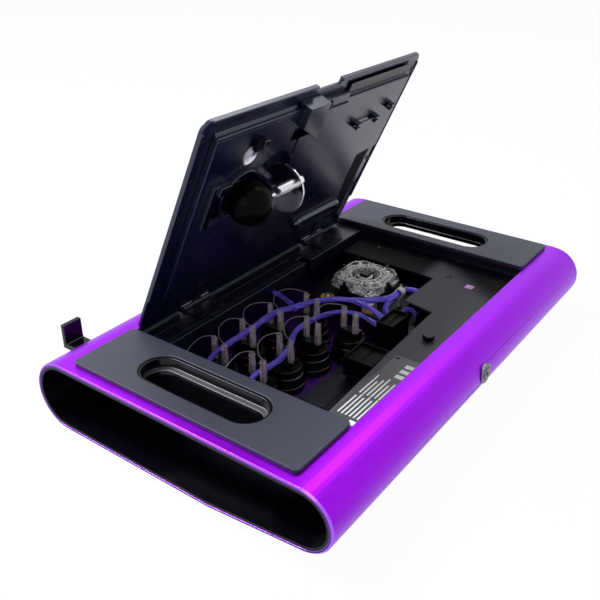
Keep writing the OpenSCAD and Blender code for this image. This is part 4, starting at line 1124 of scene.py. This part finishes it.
@dataclass
class Wiring:
    """Looms of bundled wires, and the thin ground wires between the sleeves."""

    loom_r: float = 2.4
    shortest: float = 0.03
    loom: Bundle = Bundle(0.88, 2.4 - 0.88, 6, loose=0.55)
    thin: Bundle = Bundle(0.32, sides=8)
    hoop_z: Point = (50, 51.5, 53.5, 54, 53, 51.5, 50)
    exit_z: Point = (50, 51.5, 52.5, 50, 46, 42.5, 42)
    ground: tuple[tuple[Point, ...], ...] = (
        ((-69, 54), (-77, 60), (-92, 58), (-105, 47), (-107.5, 40)),
        ((-32, 53), (-43, 60), (-57, 60), (-71, 49), (-73, 40)),
        ((3, 37), (-2, 50), (-14, 56), (-28, 51), (-36.5, 39)),
        ((-103, 54), (-112, 60), (-126, 60), (-138, 56), (-144, 54), (-146.4, 54)),
        ((-67, 14), (-80, 18), (-94, 15), (-105, 6), (-107.5, 0)),
        ((-32, 12), (-44, 18), (-58, 16), (-69, 7), (-72, 0)),
        ((3, -3), (-6, 8), (-20, 9), (-32, 4), (-36.5, -2)),
        ((-103, 14), (-112, 19), (-126, 19), (-138, 16), (-144, 15), (-146.4, 15)),
    )

    def declare(self, piece: Piece, line: Sequence[Vector]) -> None:
        """Measures how long a wire is, and logs it when it is too short to be a cord.

        Args:
            piece: The wire.
            line: Its middle line, in metres.
        """
        length = sum((b - a).length for a, b in zip(line, line[1:]))
        if length < self.shortest:
            LOG.info("%s is too short to be a cord", piece.thing.name)
            return

    def build(self) -> None:
        """Lays six looms, then the ground wires, which rise and end on their own heights."""
        for run in Run:
            nodes, points = run.value
            line = route(points)
            piece = self.loom.sweep(f"wires_{run.name.lower()}", line).dress(Kind.LOOM, *nodes)
            self.declare(piece, line)
        for number, marks in enumerate(self.ground, 1):
            heights = self.hoop_z if len(marks) == len(self.hoop_z) - 2 else self.exit_z
            places = zip((marks[0], *marks, marks[-1]), heights)
            line = route([(x, y, z) for (x, y), z in places])
            piece = self.thin.sweep(f"ground_wire_{number}", line)
            self.declare(piece.dress(Kind.GROUND, "ground_wires"), line)


@dataclass
class LeverUnit:
    """The lever's base, switches, gate and hub."""

    x: float = 76.0
    y: float = 20.0
    base_top: float = 27.0
    gate_z: float = 38.0
    corner: tuple[float, float] = (30.0, 23.0)
    collar_z: float = 43.2
    washer_high: float = 0.7
    switch_z: Place = (36.6, 42.5, 46.6)
    switches: tuple[tuple[float, float, float, float], ...] = (
        (-27.5, 6, 3, 9), (-3, -27.5, 9, 3), (27.5, -8, 3, 9), (4, 27.5, 9, 3),
    )
    tab: float = 2.8

    def fasteners(self) -> None:
        """Copper and brass washers under pan-head screws."""
        right, back = self.corner
        moves = slides((sx * right, sy * back, 0) for sx in (-1, 1) for sy in (-1, 1))
        washer = Piece.drum(
            "washer", (self.x, self.y, self.base_top), 6.8, self.washer_high, hole=2.2
        )
        washers = Piece.joined("washers", washer.twins(moves)).round_off(0.15)
        washers.paint_faces((Kind.COPPER, Kind.GOLD), lambda face: face.center.x > self.x * MM)
        washers.dress(Kind.COPPER, "lever_washers")
        foot = (self.x, self.y, self.base_top + self.washer_high)
        screw = Piece.screw("screw", foot, 2.9, 2.2)
        Piece.joined("base_screws", screw.twins(moves)).round_off().dress(
            Kind.STEEL, "lever_screws"
        )

    def around(self, piece: Piece, count: int, first: float = 0.0) -> list[Piece]:
        """Copies of a piece evenly round the lever's axis. The piece itself is used up."""
        axis = Matrix.Translation(at(self.x, self.y, 0))
        turns = (math.radians(first + 360 / count * k) for k in range(count))
        return piece.twins(axis @ Matrix.Rotation(a, 4, "Z") @ axis.inverted() for a in turns)

    def gate(self) -> None:
        """The clear gate, and the rings, ribs and pins moulded on it, painted opaque white as
        painted highlights.
        """
        x, y, z = self.x, self.y, self.gate_z
        softened("lever_gate", 0.35, Kind.CLEAR, 3)
        rib = Piece.block("rib", (x + 15.4, y - 0.5, z + 1), (x + 24.4, y + 0.5, z + 8.3))
        web = Piece.block("web", (x + 18, y - 4.0, z + 6.4), (x + 18.9, y + 4.0, z + 8.6))
        pin = Piece.drum("pin", (x + 22.4, y, z + 3), 2.3, 6.2, 16, 1.7)
        lobe = Piece.drum("lobe", (x + 24.2, y, z + 0.6), 2.9, 6.0, 20, hole=2.2)
        moulded = [
            Piece.drum("ring", (x, y, z + 7.4), 15.4, 1.8, 56, hole=14.6),
            Piece.drum("ring", (x, y, z + 7.4), 21.0, 1.1, 56, hole=20.3),
            Piece.drum("ring", (x, y, z + 0.3), 12.6, 1.2, 48, hole=12.0),
            *self.around(rib, 8, 22.5),
            *self.around(web, 8),
            *self.around(pin, 4, 45),
            *self.around(lobe, 6, 12),
        ]
        Piece.joined("gate_ribs", moulded).round_off(0.2, 2, 40).dress(Kind.FROST)

    def catches(self) -> None:
        """Small black switch bodies that show round the gate, with a tab on each."""
        foot, top, tab_top = self.switch_z
        parts = []
        for dx, dy, wide, deep in self.switches:
            for half_x, half_y, low, high in (
                (wide / 2, deep / 2, foot, top), (self.tab / 2, self.tab / 2, top, tab_top),
            ):
                x, y = self.x + dx, self.y + dy
                corner = (x + half_x, y + half_y, high)
                parts.append(Piece.block("switch", (x - half_x, y - half_y, low), corner))
        Piece.joined("gate_switches", parts).round_off(0.4).dress(Kind.BUTTON)

    def build(self) -> None:
        """Builds the unit."""
        softened("lever_base_plate", 0.3, Kind.SATIN)
        self.fasteners()
        keep("lever_housing", Kind.SATIN)
        softened("lever_switch_block", 0.6, Kind.SATIN)
        softened("lever_board", 0.2, Kind.BOARD)
        self.gate()
        self.catches()
        keep("lever_ring", Kind.SATIN)
        softened("lever_actuator", 0.7, Kind.SATIN, 3)
        # the hub collar in the same painted-highlight white
        collar = Piece.drum("hub_collar", (self.x, self.y, self.collar_z), 7.2, 1.4, hole=4.4)
        collar.round_off(0.4, 3).dress(Kind.FROST, body="lever_hub")
        softened("lever_bezel", 0.6, Kind.SATIN)


@dataclass
class Electronics:
    """Main board, connectors, clip and port. Small parts are given by corner and top."""

    board_top: float = 13.6
    wall: float = 1.4
    hollow: float = 3.0
    headers: tuple[tuple[Point, Point, int], ...] = (
        ((-38, -58), (-8, -30, 30), 6), ((16, -46), (46, -29, 38), 7),
        ((50, -66), (64, -50, 36), 3), ((78, -62), (92, -50, 36), 3),
    )
    chips: tuple[tuple[Point, Point], ...] = (
        ((-4, -66), (10, -52, 1.6)), ((68, -46), (76, -38, 1.4)), ((0, -44), (8, -38, 2.4)),
    )
    pads: tuple[Point, ...] = (
        (-6, -48), (-2, -48), (11, -60), (11, -55), (48, -44), (66, -60), (70, -60),
    )
    pad_size: Place = (2.2, 1.2, 0.8)

    def header(self, low: Point, high: Point, ways: int) -> Piece:
        """A connector block with a hollow top and a row of pins.

        Args:
            low: Front left corner on the board.
            high: Highest corner.
            ways: How many pins.

        Returns:
            The piece.
        """
        (left, front), (right, back, top) = low, high
        block = Piece.block("header", (left, front, self.board_top), high)
        parts = [block.inset(faces_up, (self.wall, 0), (0.05, -self.hollow))]
        step = (right - left - 6) / (ways - 1)
        middle = (front + back) / 2
        for x in (left + 3 + k * step for k in range(ways)):
            foot = (x - 0.5, middle - 0.5, top - self.hollow)
            parts.append(Piece.block("pin", foot, (x + 0.5, middle + 0.5, top - 0.6)))
        return Piece.joined("header", parts)

    def small_parts(self) -> None:
        """The four tall blocks on the board, and its chips and pads."""
        blocks = [self.header(*given) for given in self.headers]
        Piece.joined("board_headers", blocks).round_off(0.4).dress(
            Kind.HEADER, "board_connectors"
        )
        z = self.board_top
        dark = [
            Piece.block("chip", (*low, z), (right, back, z + high))
            for low, (right, back, high) in self.chips
        ]
        Piece.joined("board_chips", dark).round_off(0.25).dress(Kind.BUTTON)
        wide, deep, high = self.pad_size
        metal = [
            Piece.block("pad", (x, y, z), (x + wide, y + deep, z + high)) for x, y in self.pads
        ]
        Piece.joined("board_pads", metal).round_off(0.2).dress(Kind.STEEL)

    def strip(self) -> None:
        """The white flat cable end and the pink part beside the gate."""
        end = Piece.block("white_strip", (38, -9, 35), (46, 7, 35.9))
        foot = Piece.block("strip_foot", (44, -3, 27), (46, 3, 35))
        white = Piece.joined("white_strip", [end.inset(faces_up, (0.5, -0.25)), foot])
        white.round_off(0.2).dress(Kind.WHITE_PART)
        pink = Piece.drum("pink_part", (48.5, -8, 27), 2.2, 9.5, 20, 1.8)
        pink.round_off(0.4, 3).dress(Kind.PINK_PART)

    def build(self) -> None:
        """Builds the electronics."""
        softened("main_board", 0.15, Kind.BOARD)
        self.small_parts()
        self.strip()
        softened("loom_clip", 0.3, Kind.WHITE_PART)
        softened("usb_port", 0.2, Kind.STEEL)


@dataclass
class Outside:
    """Cord cleats and the latch."""

    latch_face_y: float = -141.8
    latch_z: float = 36.0
    face_r: float = 5.0
    dimple_r: float = 1.9
    dimple_deep: float = 1.6
    brink: float = 0.3
    inmost: float = 3.0

    def latch_button(self) -> None:
        """The button of the latch, with a dimple in its face whose faces are painted black as
        painted shade.
        """
        middle = at(0, self.latch_face_y, self.latch_z)

        def in_dimple(face: Polygon) -> bool:
            """Whether a face lies in the dimple."""
            offset = face.center - middle
            deep = self.brink < offset.y / MM < self.inmost
            return deep and math.hypot(offset.x, offset.z) / MM < self.dimple_r + self.brink

        button = Piece.from_node("latch_button").inset(
            lambda face: abs(face.calc_center_median().y - middle.y) < TOUCH,
            (self.face_r - self.dimple_r, 0), (0.2, -self.dimple_deep),
        )
        # the dimple's faces are painted black: painted shade in a real dimple
        button.round_off(0.4).paint_faces((Kind.LATCH, Kind.BUTTON), in_dimple)
        button.dress(Kind.LATCH, "latch_button")

    def build(self) -> None:
        """Softens the cleats and the latch."""
        softened("cord_cleats", 1.0, Kind.BUTTON, 3)
        softened("latch_bezel", 0.6, Kind.LATCH, 3)
        self.latch_button()
        softened("latch_guide", 0.3, Kind.SATIN)


@dataclass
class Cover:
    """The open cover with its hinges and the stored lever."""

    tray_d: float = 8.0
    tray_edge: float = 0.018
    rib_low: Place = (31.0, 36.8, 12.9)
    rib_back_u: float = 53.2
    dish: tuple[float, float] = (-85.0, 164.0)
    dish_steps: tuple[float, ...] = (1.2, 1.8, 2.0, 1.6)
    screw_x: float = 139.0
    screw_u: tuple[float, float] = (36.0, 204.0)
    screws_a_side: int = 5

    def tray(self) -> None:
        """The inner tray, its long edges well rounded."""
        inside = inward()

        def long_top_edge(edge: Edge) -> bool:
            """Whether an edge is one of the tray's long upper ones."""
            slopes = [f.normal.dot(inside) for f in edge.link_faces]
            corner = any(s > 0.95 for s in slopes) and any(abs(s) < 0.2 for s in slopes)
            return corner and edge.calc_length() > self.tray_edge

        tray = Piece.from_node("cover_tray").bevel(long_top_edge, 1.2, 4, clamp=True)
        tray.round_off(0.4, 3, 40).dress(Kind.COVER, "cover_tray")

    def flank(self) -> None:
        """The sloping flank along the tray's free side, up to the catch."""
        piece = cover_block("tray_flank", (-130.6, -38), (185, 193), (3.0, self.tray_d + 0.1))
        corners = [v.co for v in piece.thing.data.vertices]
        back = min(c.y for c in corners) + TOUCH
        low = min(c.z for c in corners) + TOUCH
        piece.bevel(lambda edge: all(v.co.y < back and v.co.z < low for v in edge.verts), 4.7, 1)
        piece.round_off(0.5, 4, 25).swung().dress(Kind.COVER)

    def fittings(self) -> None:
        """Catch, ball pocket rim, bracket, hook, rib, elbow and rod holders."""
        inside = inward()

        def rib_edge(edge: Edge) -> bool:
            """Whether an edge runs round the top of the broad rib."""
            on_rib = all(
                x > self.rib_low[0] and self.rib_low[1] < u < self.rib_back_u
                and d > self.rib_low[2]
                for x, u, d in (folded(v.co) for v in edge.verts)
            )
            return on_rib and any(abs(f.normal.dot(inside)) < ASLANT for f in edge.link_faces)

        piece = Piece.from_node("cover_fittings").bevel(rib_edge, 4.2, 7, clamp=True)
        piece.round_off(0.45, 3, 45).dress(Kind.FITTING, "cover_fittings")

    def dark_floors(self) -> None:
        """Dark sheets where the tray is open: a black sheet of painted shade in the side recess,
        and a darker strip in the groove.
        """
        for name, kind, *spans in (
            # the recess floor is a black sheet of painted shade
            ("recess_floor", Kind.COVER_DARK, (96, 131), (18, 110), (2.9, 3.4)),
            ("strip_floor", Kind.STRIP, (31, 131), (188, 197), (5.0, 5.4)),
        ):
            insert = cover_block(name, *spans).inset(faces_down, (0.8, -0.15))
            insert.round_off(0.15).swung().dress(kind)

    def dimple(self) -> None:
        """A polished dish in the tray, and the dark wedge beside it."""
        dish = Piece.drum("dish", shut(*self.dish, self.tray_d + 0.5), 8.4, 1.6, 48)
        dish.inset(faces_down, *((step, -(9.0 - 2.0 * step) * 0.1) for step in self.dish_steps))
        dish.round_off(0.4, 3, 40).swung().dress(Kind.DISH)
        lean = partial(bpy.ops.transform.translate, value=(2.4 * MM, -3 * MM, 0))
        wedge = cover_block("dish_wedge", (-86, -77), (169, 179), (self.tray_d, self.tray_d + 4))
        wedge.inset(faces_down, (3.2, 0), then=lean)
        wedge.round_off(0.5, 3).swung().dress(Kind.COVER_DARK)

    def hinge_screws(self) -> None:
        """Screws in the hinge leaves, on the body."""
        first = Piece.screw("hinge_screw", (-78, 82, 57.6), 2.2, 0.8)
        moves = [(dx + leaf, dy, 0) for leaf in (0, 174) for dx in (-11, 11) for dy in (-4, 4)]
        heads = Piece.joined("hinge_screws", first.twins(slides(moves)))
        heads.round_off().dress(Kind.BUTTON)

    def cover_screws(self) -> None:
        """Ten small screws round the cover's inside."""
        flip = Matrix.Rotation(math.pi, 4, "X") @ Matrix.Translation(-at(0, 0, 0))
        start, end = self.screw_u
        pitch = (end - start) / self.screws_a_side
        places = [
            shut(side * self.screw_x, start + pitch * (k + 0.5), 3.0)
            for side in (-1, 1) for k in range(self.screws_a_side)
        ]
        first = Piece.screw("cover_screw", (0, 0, 0), 2.0, 0.9)
        made = first.twins(opened() @ Matrix.Translation(at(*p)) @ flip for p in places)
        heads = Piece.joined("cover_screw_heads", made)
        heads.round_off().dress(Kind.BUTTON, "cover_screws", body="cover")

    def build(self) -> None:
        """Builds the cover, its hinges and what it holds."""
        softened("hinge_bases", 0.3, Kind.SHELF)
        softened("hinge_leaves", 0.3, Kind.SHELF)
        softened("hinge_pins", 0.2, Kind.DULL_STEEL)
        softened("cover_plate", 0.7, Kind.COVER, 3)
        self.tray()
        self.flank()
        self.fittings()
        self.dark_floors()
        self.dimple()
        self.hinge_screws()
        self.cover_screws()
        softened("lever_cradle", 0.5, Kind.COVER, 3)
        keep("ball_top", Kind.BALL)
        softened("lever_shaft", 0.3, Kind.CHROME)


def main() -> None:
    """Builds the scene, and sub-assembly by sub-assembly."""
    logging.basicConfig(level=logging.INFO, format="%(message)s")
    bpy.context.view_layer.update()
    Studio().build()
    for part in (Body, Bay, Buttons, Wiring, LeverUnit, Electronics, Outside, Cover):
        part().build()
        LOG.info("%s done", part.__name__)


if __name__ == "__main__":
    main()
